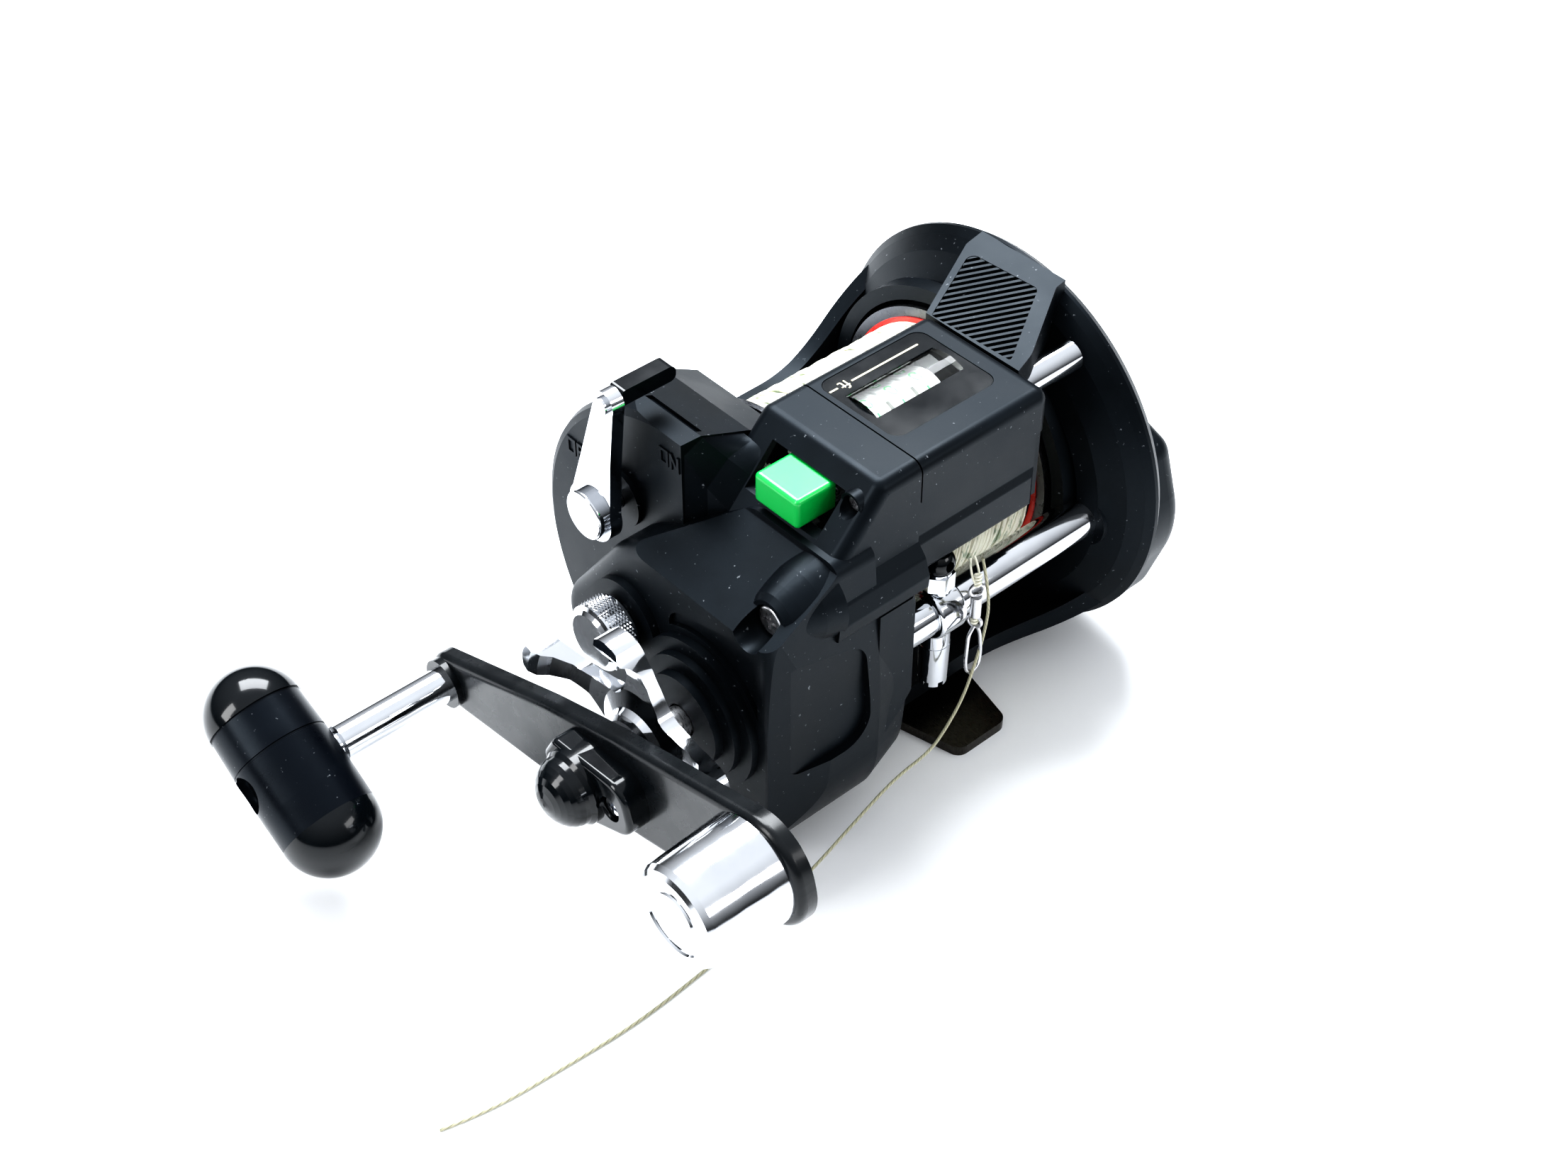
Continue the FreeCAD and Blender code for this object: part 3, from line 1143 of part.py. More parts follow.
def snap_swivel():
    """Barrel swivel with an eye at each end and a wire snap below."""
    x, y = SWIVEL
    wire = [(-0.3, 39.3), (-1.6, 37.6), (-1.9, 31.0), (-1.4, 28.4), (0.2, 27.4), (1.8, 28.6), (2.1, 31.5),
            (1.5, 36.5), (0.5, 38.9)]
    rise = 0.0025
    snap = swept([(x + dx, y - 0.2 + rise * i * i, z) for i, (dx, z) in enumerate(wire)], 0.7)
    body = Part.makeCylinder(1.05, 4.6, V(x, y, 41.6))
    facings = ((47.7, V(0.5, 1, 0)), (40.2, V(1, 0.3, 0)))
    eyes = [Part.makeTorus(1.3, 0.35, V(x, y, z), turn) for z, turn in facings]
    return body.multiFuse(eyes + [snap]).removeSplitter()


# ---- all parts ----
save("handle_side_cover", handle_side_cover())
save("frame", frame())
save("gear_plate", gear_plate())
save("palm_side_cover", palm_side_cover())
save("clicker_button", clicker_button())
save("case_screws", case_screws())
save("reel_foot", reel_foot())
save("foot_rivets", foot_rivets())

save("level_wind_tube", level_wind_tube())
save("worm_shaft", worm_shaft())
save("worm_gear", gear(-35.5, -33.0, TUBE, WORM_TEETH, WIND_MODULE, WORM_R,
                       mesh_turn(DRIVE, TUBE, WIND_TEETH, WORM_TEETH, 0)))
save("line_carriage", line_carriage())
save("carriage_pawl", carriage_pawl())
save("pawl_cap", pawl_cap())
save("line_guide", line_guide())

save("spool", spool())
save("spool_rings", spool_rings())
save("wound_line", ring_x(SPOOL_X[0] + 0.4, SPOOL_X[1] - 0.4, SPOOL, LINE_R, HUB_R))
save("spool_shaft", fuse([tube_x(-46.0, 32.0, SPOOL, SPOOL_SHAFT_R), tube_x(-22.4, 24.4, SPOOL, 3.2)]))
save("spool_bearings", spool_bearings())
save("clicker_gear", ring_x(25.0, 26.6, SPOOL, 6.0, SPOOL_SHAFT_R))

save("drive_shaft", fuse([tube_x(-83.0, -28.0, DRIVE, 3.0), tube_x(-30.9, -30.2, DRIVE, 5.5)]))
save("drive_bush", ring_x(-59.3, -52.0, DRIVE, 5.18, 3.05))
save("main_gear", gear(-42.0, -38.5, DRIVE, MAIN_TEETH, MAIN_MODULE, 3.0, 0))
save("pinion_gear", pinion_gear())
save("level_wind_drive_gear", gear(-35.5, -33.0, DRIVE, WIND_TEETH, WIND_MODULE, 3.0, 0))
save("anti_reverse_ratchet", ratchet())
save("drag_washers", drag_washers())
save("anti_reverse_dog", anti_reverse_dog())

save("spool_counter_gear", gear(-32.6, -31.2, SPOOL, SPOOL_GEAR_TEETH, REDUCER_MODULE, SPOOL_SHAFT_R, 0))
save("counter_reducer", counter_reducer())
save("counter_transfer_gear", counter_transfer_gear())
save("counter_gear", counter_gear())
save("fixed_pins", fixed_pins())
for name, x0 in zip(("units", "tens", "hundreds"), WHEEL_X):
    save("digit_wheel_" + name, digit_wheel(x0))
save("counter_cap", counter_cap())
save("counter_label", counter_label())
save("counter_window", counter_window())
save("counter_post", tube_x(CAP_X[1], 28.9, PILLAR, 2.98))
save("reset_button", round_edges(box(BUTTON_X, BUTTON_Y, BUTTON_Z), 0.9,
                                 lambda e: e.CenterOfMass.x < BUTTON_X[1] - 0.1))
save("reset_spring", reset_spring())

save("clutch_lever", clutch_lever())
save("lever_thumb_tab", lever_thumb_tab())
save("lever_shaft", lever_shaft())
save("clutch_yoke", clutch_yoke())
save("tension_knob", tension_knob())
save("star_drag", star_drag())

save("handle_arm", handle_arm())
save("handle_nut", handle_nut())
save("nut_cap", nut_cap())
save("nut_cap_screw", screw(-83.9, ARM_X[0] + 0.9, CAP_SCREW, 2.2, 1.3, 1.0))
save("counterweight", counterweight())
save("knob_post", knob_post())
save("knob_barrel", knob_barrel())
save("knob_caps", knob_caps())

save("free_line", swept(FREE_LINE, LINE_D))
save("snap_swivel", snap_swivel())
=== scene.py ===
import json
import math
import random

import bmesh
import bpy
from mathutils import Matrix, Vector


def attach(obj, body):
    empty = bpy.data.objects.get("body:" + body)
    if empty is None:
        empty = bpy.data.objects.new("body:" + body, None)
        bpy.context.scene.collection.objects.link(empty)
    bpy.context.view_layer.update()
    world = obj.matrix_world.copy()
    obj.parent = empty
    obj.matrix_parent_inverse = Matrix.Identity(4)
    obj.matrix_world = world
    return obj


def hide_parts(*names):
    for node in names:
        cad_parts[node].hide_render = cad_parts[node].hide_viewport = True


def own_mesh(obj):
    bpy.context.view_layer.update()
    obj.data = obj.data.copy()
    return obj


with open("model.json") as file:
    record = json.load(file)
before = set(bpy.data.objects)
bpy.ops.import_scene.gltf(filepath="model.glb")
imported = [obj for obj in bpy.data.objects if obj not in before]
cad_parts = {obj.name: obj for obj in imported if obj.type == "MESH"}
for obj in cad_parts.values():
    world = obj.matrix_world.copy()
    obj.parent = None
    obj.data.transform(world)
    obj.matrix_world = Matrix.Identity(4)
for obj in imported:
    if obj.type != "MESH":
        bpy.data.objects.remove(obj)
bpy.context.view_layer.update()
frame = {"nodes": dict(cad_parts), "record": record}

MM = 0.001
NODES = frame["nodes"]
RANDOM = random.Random(7)

# Shafts along X, as (y, z) in millimetres.
SPOOL = (4.0, 42.0)
COUNTER = (-13.5, 71.0)


def mm(x, y, z):
    return Vector((x, y, z)) * MM


def around(x, radius, angle, axis):
    """Point at a radius and an angle round a shaft along X."""
    return mm(x, axis[0] + radius * math.cos(angle), axis[1] + radius * math.sin(angle))


def add_piece(name, shape, smooth=True):
    """New object from a bmesh, with its normals made consistent."""
    bmesh.ops.recalc_face_normals(shape, faces=shape.faces[:])
    data = bpy.data.meshes.new(name)
    shape.to_mesh(data)
    shape.free()
    if smooth:
        data.shade_smooth()
    piece = bpy.data.objects.new(name, data)
    bpy.context.scene.collection.objects.link(piece)
    return piece


def add_mesh(name, vertices, faces, smooth=True):
    shape = bmesh.new()
    corners = [shape.verts.new(v) for v in vertices]
    for face in faces:
        shape.faces.new([corners[i] for i in face])
    return add_piece(name, shape, smooth)


def add_tube(name, rings):
    """Closed tube through rings of points; every ring has the same number of corners."""
    sides = len(rings[0])
    faces = [tuple(range(sides)), tuple(range((len(rings) - 1) * sides, len(rings) * sides))]
    for i in range(len(rings) - 1):
        for k in range(sides):
            a = i * sides + k
            b = i * sides + (k + 1) % sides
            faces.append((a, b, b + sides, a + sides))
    return add_mesh(name, [corner for ring in rings for corner in ring], faces)


def coil_ring(x, coil_radius, wire_radius, angle, axis, sides):
    """Corners of one cross-section of a strand that lies round a shaft along X."""
    ring = []
    for k in range(sides):
        turn = math.tau * k / sides
        out = coil_radius + wire_radius * math.sin(turn)
        ring.append(around(x + wire_radius * math.cos(turn), out, angle, axis))
    return ring


def finish_piece(piece, body, material):
    piece.data.materials.clear()
    piece.data.materials.append(material)
    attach(piece, body)


# ---- camera ----
LENS_PX = 3300.0
PHOTO_WIDTH = 2212


def make_camera():
    data = bpy.data.cameras.new("camera")
    camera = bpy.data.objects.new("camera", data)
    bpy.context.scene.collection.objects.link(camera)
    right = Vector((0.74614, -0.66579, 0.00164))
    up = Vector((0.44768, 0.50352, 0.73896))
    back = Vector((-0.49281, -0.55063, 0.67375))
    turn = Matrix((right, up, back)).transposed().to_4x4()
    camera.matrix_world = Matrix.Translation(mm(-240.0, -243.0, 329.1)) @ turn
    data.sensor_width = 36.0
    data.lens = LENS_PX / PHOTO_WIDTH * data.sensor_width
    data.clip_start = 0.01
    data.clip_end = 20.0
    bpy.context.scene.camera = camera


make_camera()


# ---- materials ----
class Nodes:
    """Short names for building one node material."""

    def __init__(self, name):
        self.material = bpy.data.materials.new(name)
        self.material.use_nodes = True
        self.tree = self.material.node_tree
        self.shader = self.tree.nodes["Principled BSDF"]

    def add(self, kind, **inputs):
        node = self.tree.nodes.new(kind)
        for key, value in inputs.items():
            node.inputs[key.replace("_", " ")].default_value = value
        return node

    def link(self, source, target):
        self.tree.links.new(source, target)

    def set(self, **inputs):
        for key, value in inputs.items():
            self.shader.inputs[key.replace("_", " ")].default_value = value

    def place(self, stretch=(1, 1, 1)):
        coordinates = self.tree.nodes.new("ShaderNodeTexCoord")
        mapping = self.tree.nodes.new("ShaderNodeMapping")
        mapping.inputs["Scale"].default_value = stretch
        self.link(coordinates.outputs["Object"], mapping.inputs["Vector"])
        return mapping.outputs["Vector"]

    def noise(self, scale, detail=3.0, roughness=0.55, stretch=(1, 1, 1)):
        node = self.add("ShaderNodeTexNoise", Scale=scale, Detail=detail, Roughness=roughness)
        self.link(self.place(stretch), node.inputs["Vector"])
        return node.outputs["Fac"]

    def range(self, value, low, high, to_low, to_high):
        node = self.tree.nodes.new("ShaderNodeMapRange")
        for index, number in enumerate((low, high, to_low, to_high), start=1):
            node.inputs[index].default_value = number
        self.link(value, node.inputs[0])
        return node.outputs[0]

    def mix(self, value, colour_a, colour_b):
        node = self.tree.nodes.new("ShaderNodeMix")
        node.data_type = "RGBA"
        self.link(value, node.inputs["Factor"])
        for socket, colour in ((node.inputs[6], colour_a), (node.inputs[7], colour_b)):
            if isinstance(colour, tuple):
                socket.default_value = (*colour, 1.0)
            else:
                self.link(colour, socket)
        return node.outputs[2]

    def bump(self, height, strength, distance):
        node = self.tree.nodes.new("ShaderNodeBump")
        node.inputs["Strength"].default_value = strength
        node.inputs["Distance"].default_value = distance
        self.link(height, node.inputs["Height"])
        self.link(node.outputs["Normal"], self.shader.inputs["Normal"])


def moulded_graphite(name, dark, light, rough):
    """Satin moulded plastic: fine grain, faint wear haze and a few dust specks."""
    m = Nodes(name)
    grain = m.noise(2600, 2.0)
    haze = m.noise(55, 4.0)
    dust = m.range(m.noise(900, 2.0, 0.7), 0.70, 0.76, 0.0, 1.0)
    tone = m.mix(m.range(haze, 0.35, 0.7, 0.0, 1.0), dark, light)
    m.link(m.mix(dust, tone, (0.13, 0.14, 0.15)), m.shader.inputs["Base Color"])
    m.link(m.range(haze, 0.3, 0.7, rough - 0.05, rough + 0.07), m.shader.inputs["Roughness"])
    m.set(Specular_IOR_Level=0.20, Specular_Tint=(0.75, 0.88, 1.0, 1.0))
    m.bump(grain, 0.12, 0.00004)
    return m.material


def gloss_black(name="gloss_black"):
    m = Nodes(name)
    smudge = m.noise(120, 4.0)
    m.link(m.mix(smudge, (0.001, 0.002, 0.003), (0.003, 0.005, 0.007)), m.shader.inputs["Base Color"])
    m.link(m.range(smudge, 0.3, 0.7, 0.10, 0.22), m.shader.inputs["Roughness"])
    m.set(Specular_IOR_Level=0.2, Coat_Weight=0.35, Coat_Roughness=0.05)
    m.bump(m.noise(700), 0.04, 0.00003)
    return m.material


def black_paint():
    m = Nodes("black_paint")
    wear = m.noise(160, 4.0)
    m.link(m.mix(wear, (0.002, 0.003, 0.004), (0.006, 0.008, 0.010)), m.shader.inputs["Base Color"])
    m.link(m.range(wear, 0.3, 0.7, 0.20, 0.34), m.shader.inputs["Roughness"])
    m.set(Specular_IOR_Level=0.25, Coat_Weight=0.15, Coat_Roughness=0.12)
    m.bump(m.noise(1500), 0.06, 0.00003)
    return m.material


def chrome():
    m = Nodes("chrome")
    smudge = m.noise(90, 5.0)
    m.link(m.mix(smudge, (0.56, 0.58, 0.61), (0.74, 0.75, 0.77)), m.shader.inputs["Base Color"])
    m.link(m.range(smudge, 0.35, 0.7, 0.04, 0.13), m.shader.inputs["Roughness"])
    m.set(Metallic=1.0)
    m.bump(m.noise(260), 0.05, 0.00005)
    return m.material


def brushed(name, colour_a, colour_b, rough):
    """Turned metal, with faint marks round the X axis."""
    m = Nodes(name)
    marks = m.noise(900, 3.0, stretch=(6.0, 1.0, 1.0))
    m.link(m.mix(marks, colour_a, colour_b), m.shader.inputs["Base Color"])
    m.link(m.range(marks, 0.3, 0.7, rough - 0.06, rough + 0.08), m.shader.inputs["Roughness"])
    m.set(Metallic=1.0)
    m.bump(marks, 0.05, 0.00003)
    return m.material


def bright_plastic(name, colour_a, colour_b, rough):
    m = Nodes(name)
    cloud = m.noise(240, 3.0)
    m.link(m.mix(cloud, colour_a, colour_b), m.shader.inputs["Base Color"])
    m.link(m.range(cloud, 0.3, 0.7, rough, rough + 0.1), m.shader.inputs["Roughness"])
    m.set(Coat_Weight=0.4, Coat_Roughness=0.08)
    m.bump(m.noise(1200), 0.05, 0.00003)
    return m.material


def printed(name, colour_a, colour_b):
    """Thin printed ink, slightly uneven."""
    m = Nodes(name)
    m.link(m.mix(m.noise(900, 3.0), colour_a, colour_b), m.shader.inputs["Base Color"])
    m.set(Roughness=0.4)
    m.bump(m.noise(2500), 0.05, 0.00002)
    return m.material


def line_fibre():
    """Cream line with faint green and grey flecks."""
    m = Nodes("line_fibre")
    fleck = m.range(m.noise(700, 2.0, stretch=(1.0, 0.35, 0.35)), 0.56, 0.66, 0.0, 1.0)
    tone = m.mix(m.noise(160), (0.90, 0.88, 0.76), (0.76, 0.74, 0.60))
    m.link(m.mix(fleck, tone, (0.36, 0.42, 0.30)), m.shader.inputs["Base Color"])
    m.set(Roughness=0.55, Sheen_Weight=0.2)
    m.bump(m.noise(3000), 0.25, 0.00008)
    return m.material


TWISTS = 130.0
PLIES = 3.0


def twisted_line():
    """Cream line laid from three plies, with a groove between them that turns along its length; the groove
    is coloured dark as painted shade.
    """
    m = Nodes("twisted_line")
    uv = m.tree.nodes.new("ShaderNodeUVMap")
    stretch = m.tree.nodes.new("ShaderNodeMapping")
    stretch.inputs["Scale"].default_value = (TWISTS, PLIES, 1.0)
    m.link(uv.outputs["UV"], stretch.inputs["Vector"])
    axes = m.tree.nodes.new("ShaderNodeSeparateXYZ")
    m.link(stretch.outputs["Vector"], axes.inputs[0])
    total = m.tree.nodes.new("ShaderNodeMath")
    m.link(axes.outputs["X"], total.inputs[0])
    m.link(axes.outputs["Y"], total.inputs[1])
    share = m.tree.nodes.new("ShaderNodeMath")
    share.operation = "FRACT"
    m.link(total.outputs[0], share.inputs[0])
    groove_and_painted_shade = m.range(share.outputs[0], 0.0, 0.35, 0.0, 1.0)
    tone = m.mix(m.noise(300), (0.50, 0.47, 0.34), (0.34, 0.33, 0.22))
    # painted shade: the groove between the plies is coloured dark, in place of the shade that falls in
    # that crease
    m.link(m.mix(groove_and_painted_shade, (0.12, 0.14, 0.09), tone), m.shader.inputs["Base Color"])
    m.set(Roughness=0.55, Sheen_Weight=0.2)
    m.bump(groove_and_painted_shade, 0.5, 0.00008)
    return m.material


def clear_window():
    m = Nodes("clear_window")
    haze = m.noise(300, 3.0)
    m.link(m.range(haze, 0.3, 0.7, 0.02, 0.07), m.shader.inputs["Roughness"])
    m.set(Base_Color=(0.97, 0.99, 0.98, 1.0), Transmission_Weight=1.0, IOR=1.3)
    m.bump(m.noise(900), 0.02, 0.00002)
    return m.material


GRAPHITE = moulded_graphite("graphite", (0.0015, 0.0024, 0.0035), (0.0040, 0.0060, 0.0085), 0.42)
KNOB_BLACK = moulded_graphite("knob_black", (0.0012, 0.002, 0.004), (0.0025, 0.004, 0.007), 0.30)
GLOSS_BLACK = gloss_black()
BLACK_PAINT = black_paint()
CHROME = chrome()
GREEN = bright_plastic("green_plastic", (0.0, 0.36, 0.06), (0.0, 0.44, 0.09), 0.3)
RED = bright_plastic("red_ring", (0.60, 0.025, 0.02), (0.72, 0.05, 0.035), 0.25)
WHITE = bright_plastic("white_plastic", (0.82, 0.82, 0.79), (0.9, 0.9, 0.87), 0.4)
SPOOL_METAL = brushed("spool_metal", (0.10, 0.105, 0.115), (0.19, 0.195, 0.21), 0.30)
STEEL = brushed("steel", (0.42, 0.42, 0.43), (0.62, 0.62, 0.63), 0.30)
DARK_STEEL = brushed("dark_steel", (0.030, 0.028, 0.025), (0.085, 0.080, 0.070), 0.30)
BRASS = brushed("brass", (0.52, 0.36, 0.13), (0.68, 0.50, 0.22), 0.32)
LINE = line_fibre()
TWISTED_LINE = twisted_line()
CLEAR = clear_window()
LABEL = gloss_black("label_black")
CREAM_INK = printed("cream_ink", (0.72, 0.64, 0.42), (0.80, 0.73, 0.52))
GREEN_INK = printed("green_ink", (0.02, 0.50, 0.10), (0.05, 0.62, 0.16))

LOOKS = {
    "graphite": GRAPHITE, "knob_black": KNOB_BLACK, "gloss_black": GLOSS_BLACK, "black_metal": BLACK_PAINT,
    "chrome": CHROME, "green_plastic": GREEN, "red_ring": RED, "spool_metal": SPOOL_METAL, "line": LINE,
    "steel": STEEL, "brass": BRASS, "white_plastic": WHITE, "clear": CLEAR, "label": LABEL,
}
SLOTS = {row["node"]: row["material_slot"] for row in frame["record"]["subparts"]}


# ---- CAD pieces: materials and soft edges ----
SHARP = math.radians(32)
CREASE = math.radians(28)
OWN_LOOKS = {"reel_foot": DARK_STEEL}
EDGE = {
    "counter_cap": 0.5, "reset_button": 0.35, "handle_arm": 0.35, "star_drag": 0.6, "clutch_lever": 0.5,
    "counterweight": 0.3, "nut_cap": 0.35, "reel_foot": 0.5, "line_carriage": 0.25, "pawl_cap": 0.25,
    "handle_side_cover": 0.5, "frame": 0.5, "palm_side_cover": 0.6, "lever_thumb_tab": 0.4,
}


def soften(piece, width):
    """Small rounds on the sharp edges of a CAD piece."""
    bevel = piece.modifiers.new("edges", "BEVEL")
    bevel.width = width * MM
    bevel.segments = 3
    bevel.limit_method = "ANGLE"
    bevel.angle_limit = SHARP
    bevel.harden_normals = False
    normals = piece.modifiers.new("normals", "WEIGHTED_NORMAL")
    normals.keep_sharp = True


def dress_nodes():
    """Materials, smooth shading and soft edges of the CAD pieces."""
    for name, node in NODES.items():
        node.data.materials.clear()
        node.data.materials.append(OWN_LOOKS.get(name, LOOKS[SLOTS[name]]))
        node.data.shade_smooth()
        node.data.set_sharp_from_angle(angle=CREASE)
        if name in EDGE:
            soften(node, EDGE[name])


dress_nodes()


# ---- free end of the line ----
LINE_POINTS = [
    (-4.9, -33.6, 51.2), (-3.8, -35.2, 42.4), (-5.2, -35.8, 34.9), (-8.6, -36.8, 28.7),
    (-12.4, -38.0, 23.9), (-17.7, -38.9, 19.7), (-22.4, -39.7, 17.9), (-31.2, -39.9, 17.4),
    (-40.9, -39.6, 12.2), (-52.1, -39.7, 6.9), (-66.6, -38.9, 0.6), (-75.9, -39.9, 0.32),
    (-92.9, -41.0, 0.34), (-107.6, -39.9, 0.32), (-123.1, -38.6, 0.34), (-131.4, -36.1, 0.32),
]
LINE_D = 0.6
SWIVEL = (-8.8, -36.3)
TIE_D = 0.45
TIE_R = 0.62


def strand(name, places, diameter):
    """Round strand through or near the given points, in millimetres."""
    data = bpy.data.curves.new(name, "CURVE")
    data.dimensions = "3D"
    spline = data.splines.new("NURBS")
    spline.points.add(len(places) - 1)
    for point, place in zip(spline.points, places):
        point.co = (*mm(*place), 1.0)
    spline.order_u = 3
    spline.use_endpoint_u = True
    spline.resolution_u = 12
    data.bevel_depth = diameter / 2 * MM
    data.bevel_resolution = 4
    data.use_fill_caps = True
    piece = bpy.data.objects.new(name, data)
    bpy.context.scene.collection.objects.link(piece)
    return piece


def free_line():
    piece = strand("free_line_visual", LINE_POINTS, LINE_D)
    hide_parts("free_line")
    finish_piece(piece, "carriage", TWISTED_LINE)


def swivel_ties():
    """Knots of line at the swivel's eyes, and the doubled leader above its upper eye."""
    x, y = SWIVEL
    for level, turns in ((48.6, 4), (39.6, 3)):
        coil = []
        for k in range(turns * 7):
            angle = k * 0.9
            coil.append((x + TIE_R * math.cos(angle), y + TIE_R * math.sin(angle), level + 0.11 * k))
        finish_piece(strand("knot", coil, TIE_D), "carriage", LINE)
    for side in (-0.5, 0.5):
        leader = [(x + side, y, 49.4), (x + side * 2.4, y + 0.8, 51.6), (x + 1.0 + side, y + 2.6, 53.3)]
        finish_piece(strand("leader", leader, TIE_D), "carriage", LINE)


free_line()
swivel_ties()


# ---- line on the spool ----
LINE_R = 23.8
LINE_X = (-19.6, 21.6)
WINDING_PITCH = 0.60
LAYERS = 2
LAYER_STEP = 0.42
CROSSINGS = 6
SLOW_WAVE = 0.31
QUICK_WAVE = 0.83
RISE = 0.10
RISE_WAVE = 1.7
STEPS_PER_TURN = 56


def wound_strand(name, ends, turns, radius, thickness, wander):
    """Strand laid round the spool between its ends, which wanders to and fro and rises a little."""
    total = int(turns * STEPS_PER_TURN)
    phase, slow, quick, rise = [RANDOM.uniform(0, math.tau) for _ in range(4)]
    rings = []
    for i in range(total + 1):
        angle = phase + math.tau * i / STEPS_PER_TURN
        x = ends[0] + (ends[1] - ends[0]) * i / total
        x += wander * (math.sin(angle * SLOW_WAVE + slow) + math.sin(angle * QUICK_WAVE + quick))
        lift = radius + RISE * math.sin(angle * RISE_WAVE + rise)
        rings.append(coil_ring(x, lift, thickness, angle, SPOOL, 6))
    piece = add_tube(name, rings)
    finish_piece(piece, "spool_body", LINE)
    return piece


def wind_spool():
    """Two close layers, and loose strands that cross them."""
    turns = (LINE_X[1] - LINE_X[0]) / WINDING_PITCH
    for layer in range(LAYERS):
        ends = LINE_X[::-1] if layer else LINE_X
        radius = LINE_R - LAYER_STEP * layer
        winding = wound_strand("wound_line_layer", ends, turns, radius, thickness=0.33, wander=0.08)
        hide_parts("wound_line")
    for i in range(CROSSINGS):
        ends = LINE_X if i % 2 else LINE_X[::-1]
        turns = 4.6 + 0.7 * i
        wound_strand("wound_line_cross", ends, turns, LINE_R + 0.40, thickness=0.26, wander=0.5)


wind_spool()


# ---- return spring of the reset button ----
SPRING_AXIS = (-21.2, 73.4)
SPRING_X = (-30.68, -25.68)
SPRING_TURNS = 3
SPRING_STEPS = 24
COIL_R = 0.85
WIRE_R = 0.2


def reset_spring():
    """Coil spring behind the reset button, made at one fixed length."""
    length = SPRING_X[1] - SPRING_X[0]
    total = SPRING_TURNS * SPRING_STEPS
    rings = []
    for i in range(total + 1):
        angle = math.tau * i / SPRING_STEPS
        rings.append(coil_ring(SPRING_X[0] + length * i / total, COIL_R, WIRE_R, angle, SPRING_AXIS, 8))
    spring = add_tube("reset_spring_coil", rings)
    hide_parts("reset_spring")
    finish_piece(spring, "frame_body", STEEL)
    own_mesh(spring)


reset_spring()


# ---- diamond knurl of the tension knob ----
KNURL_X = (-63.7, -59.3)
KNURL_R = 6.5
KNURL_RISE = 0.38
KNURL_ROWS = 7
KNURL_COUNT = 34


def knurl():
    """Small pyramids in staggered rows."""
    step = (KNURL_X[1] - KNURL_X[0]) / KNURL_ROWS
    half_angle = math.pi / KNURL_COUNT
    vertices = []
    faces = []
    for row in range(KNURL_ROWS * 2 - 1):
        x = KNURL_X[0] + step * (row + 1) / 2
        for k in range(KNURL_COUNT):
            middle = math.tau * (k + 0.5 * (row % 2)) / KNURL_COUNT
            base = len(vertices)
            vertices += [
                around(x - step / 2, KNURL_R, middle, SPOOL),
                around(x, KNURL_R, middle + half_angle, SPOOL),
                around(x + step / 2, KNURL_R, middle, SPOOL),
                around(x, KNURL_R, middle - half_angle, SPOOL),
                around(x, KNURL_R + KNURL_RISE, middle, SPOOL),
            ]
            faces += [(base + i, base + (i + 1) % 4, base + 4) for i in range(4)]
            faces.append((base + 3, base + 2, base + 1, base))
    finish_piece(add_mesh("knurl", vertices, faces, False), "tension", CHROME)


knurl()


# ---- digits and label print ----
WHEEL_R = 6.45
WHEEL_MIDDLES = {"units_wheel": -14.0, "tens_wheel": -8.0, "hundreds_wheel": -2.0}
DIGIT_HEIGHT = 4.2
LABEL_Z = 79.9
RULE_Y = -7.0
RULE_WIDTH = 0.38
UNIT_X = -14.7
INK = (-0.10, 0.03)
TEXT_CUTS = 8
TEXT_STRIP = 0.25


def raised_text(name, word, height, place):
    """Lettering as a thin solid; place turns (across, up, height) into a point."""
    data = bpy.data.curves.new("word", "FONT")
    data.body = word
    data.size = height
    data.align_x = "CENTER"
    data.align_y = "CENTER"
    data.resolution_u = 4
    holder = bpy.data.objects.new("word", data)
    bpy.context.scene.collection.objects.link(holder)
    flat = bpy.data.meshes.new_from_object(holder)
    bpy.data.objects.remove(holder)
    bpy.data.curves.remove(data)
    shape = bmesh.new()
    shape.from_mesh(flat)
    bpy.data.meshes.remove(flat)
    bmesh.ops.remove_doubles(shape, verts=shape.verts[:], dist=0.0001)
    for k in range(-TEXT_CUTS, TEXT_CUTS + 1):
        everything = shape.verts[:] + shape.edges[:] + shape.faces[:]
        bmesh.ops.bisect_plane(shape, geom=everything, plane_co=(0, TEXT_STRIP * k, 0), plane_no=(0, 1, 0))
    for vertex in shape.verts:
        vertex.co.z = INK[0]
    for item in bmesh.ops.extrude_face_region(shape, geom=shape.faces[:])["geom"]:
        if isinstance(item, bmesh.types.BMVert):
            item.co.z = INK[1]
    for vertex in shape.verts:
        vertex.co = place(*vertex.co)
    return add_piece(name, shape, False)


def digits():
    """Green figures round each wheel; they read from behind the reel."""
    for body, middle in WHEEL_MIDDLES.items():
        for digit in range(10):
            start = math.tau * (digit - 0.5) / 10

            def on_wheel(u, v, h, start=start, middle=middle):
                turn = start + v / WHEEL_R
                return around(middle - u, WHEEL_R + h, turn + math.pi / 2, COUNTER)

            figure = raised_text("digit", str(digit), DIGIT_HEIGHT, on_wheel)
            finish_piece(figure, body, GREEN_INK)


def label_print():
    """Cream rule behind the window, broken by the unit."""

    def on_label(u, v, h):
        return mm(UNIT_X - u, RULE_Y - v, LABEL_Z + h)

    finish_piece(raised_text("unit", "ft", 3.4, on_label), "frame_body", CREAM_INK)
    y0 = RULE_Y - RULE_WIDTH / 2
    y1 = RULE_Y + RULE_WIDTH / 2
    for x0, x1 in ((-18.2, -16.3), (-13.0, 3.1)):
        corners = [(x0, y0), (x1, y0), (x1, y1), (x0, y1)]
        vertices = [mm(x, y, LABEL_Z + h) for h in INK for x, y in corners]
        faces = [(3, 2, 1, 0), (4, 5, 6, 7)] + [(i, (i + 1) % 4, 4 + (i + 1) % 4, 4 + i) for i in range(4)]
        finish_piece(add_mesh("rule", vertices, faces, False), "frame_body", CREAM_INK)


digits()
label_print()


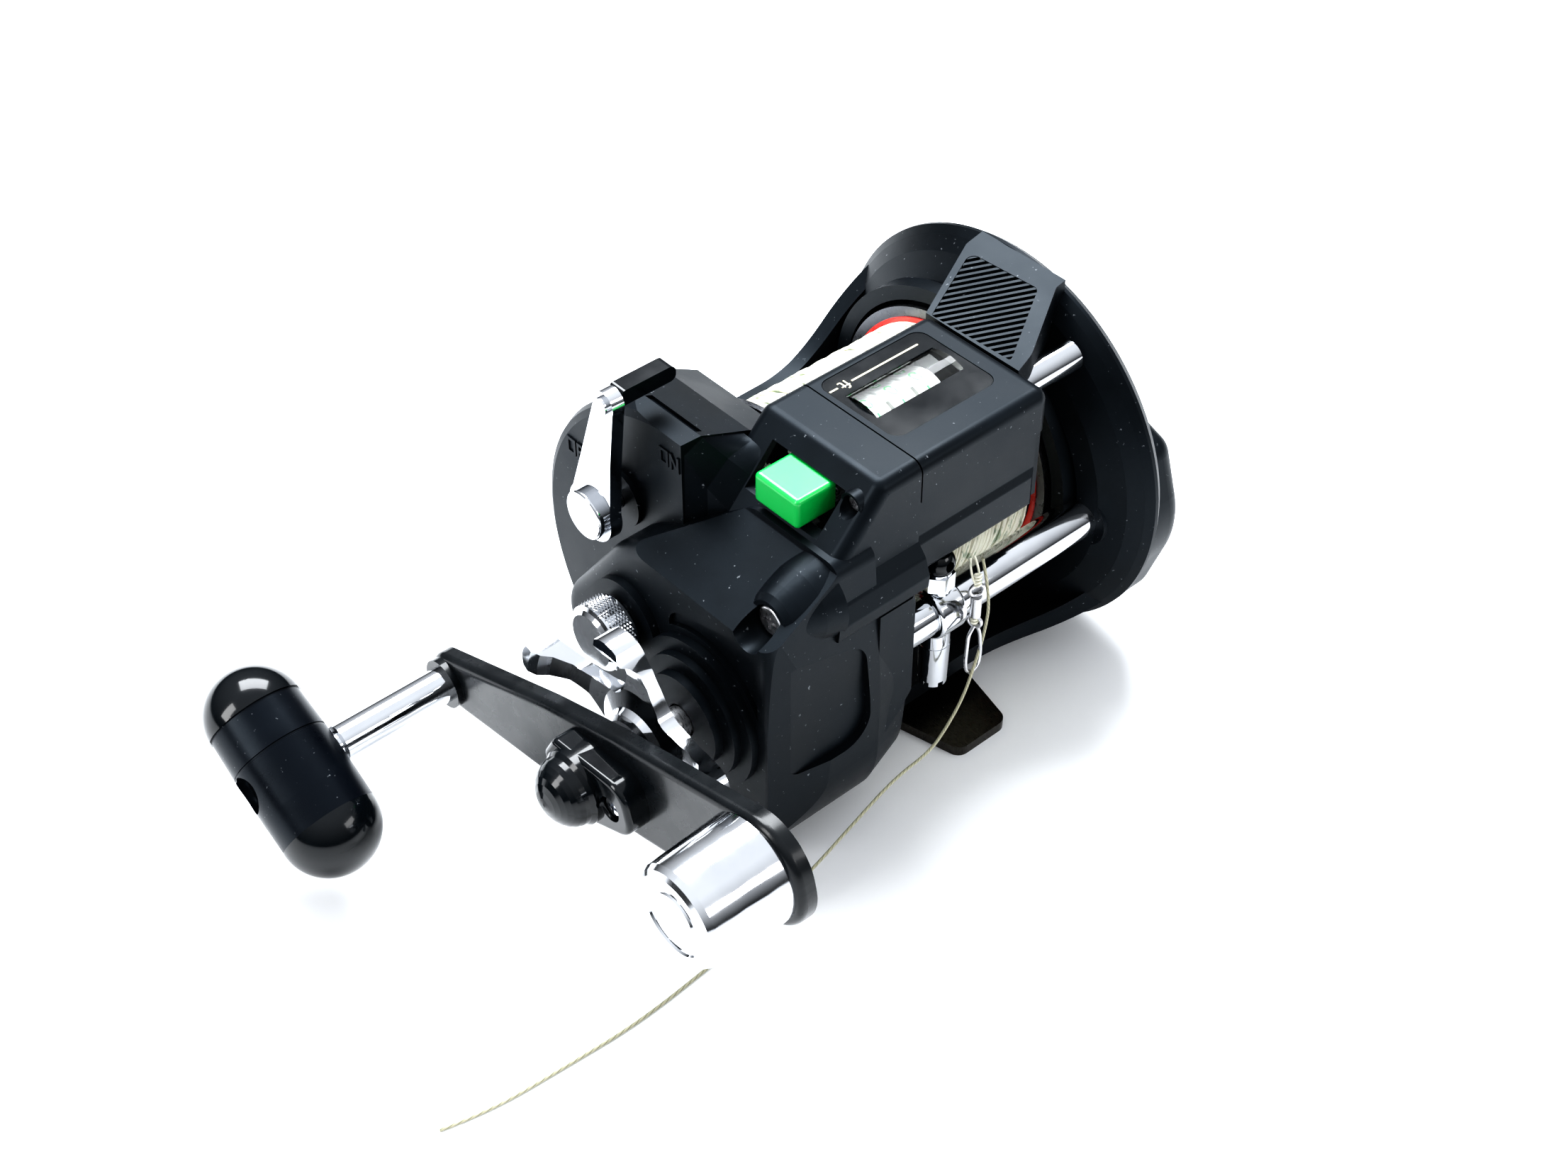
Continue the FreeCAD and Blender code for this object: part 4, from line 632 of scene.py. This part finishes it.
# ---- studio ----
FLOOR_HALF = 4.0
LOW_SKY = (0.05, 0.06)
HIGH_SKY = (0.85, 1.0)


def make_floor():
    size = FLOOR_HALF
    floor = add_mesh(
        "floor", [(-size, -size, 0), (size, -size, 0), (size, size, 0), (-size, size, 0)], [(0, 1, 2, 3)],
    )
    m = Nodes("floor")
    cloud = m.noise(3.0, 2.0)
    m.link(m.mix(cloud, (0.90, 0.91, 0.92), (0.94, 0.945, 0.95)), m.shader.inputs["Base Color"])
    m.set(Roughness=0.55)
    m.bump(m.noise(500), 0.03, 0.0001)
    floor.data.materials.append(m.material)


def area_light(name, place, aim, size, power, colour=(1, 1, 1)):
    data = bpy.data.lights.new(name, "AREA")
    data.shape = "RECTANGLE"
    data.size = size[0]
    data.size_y = size[1]
    data.energy = power
    data.color = colour
    light = bpy.data.objects.new(name, data)
    bpy.context.scene.collection.objects.link(light)
    light.location = place
    light.rotation_euler = (Vector(aim) - Vector(place)).to_track_quat("-Z", "Y").to_euler()


def sky_brightness(tree):
    """Bright overhead and dark near the horizon, so that bright metal shows dark bands."""
    background = tree.nodes["Background"]
    background.inputs["Color"].default_value = (0.93, 0.96, 1.0, 1.0)
    place = tree.nodes.new("ShaderNodeTexCoord")
    axes = tree.nodes.new("ShaderNodeSeparateXYZ")
    span = tree.nodes.new("ShaderNodeMapRange")
    numbers = (LOW_SKY[0], HIGH_SKY[0], LOW_SKY[1], HIGH_SKY[1])
    for index, number in enumerate(numbers, start=1):
        span.inputs[index].default_value = number
    tree.links.new(place.outputs["Generated"], axes.inputs[0])
    tree.links.new(axes.outputs["Z"], span.inputs[0])
    tree.links.new(span.outputs[0], background.inputs["Strength"])


def make_studio():
    make_floor()
    world = bpy.data.worlds.new("studio")
    bpy.context.scene.world = world
    world.use_nodes = True
    sky_brightness(world.node_tree)
    area_light("overhead", (0.25, 0.45, 0.9), (0, 0, 0.04), (0.9, 0.5), 22.0, (0.94, 0.97, 1.0))
    area_light("left", (-0.9, 0.25, 0.6), (0, 0, 0.04), (0.3, 0.6), 5.0)
    area_light("front", (0.35, -0.9, 0.6), (0, 0, 0.04), (0.5, 0.25), 2.0)
    view = bpy.context.scene.view_settings
    view.view_transform = "Standard"
    view.look = "High Contrast"
    view.exposure = 0.05


make_studio()
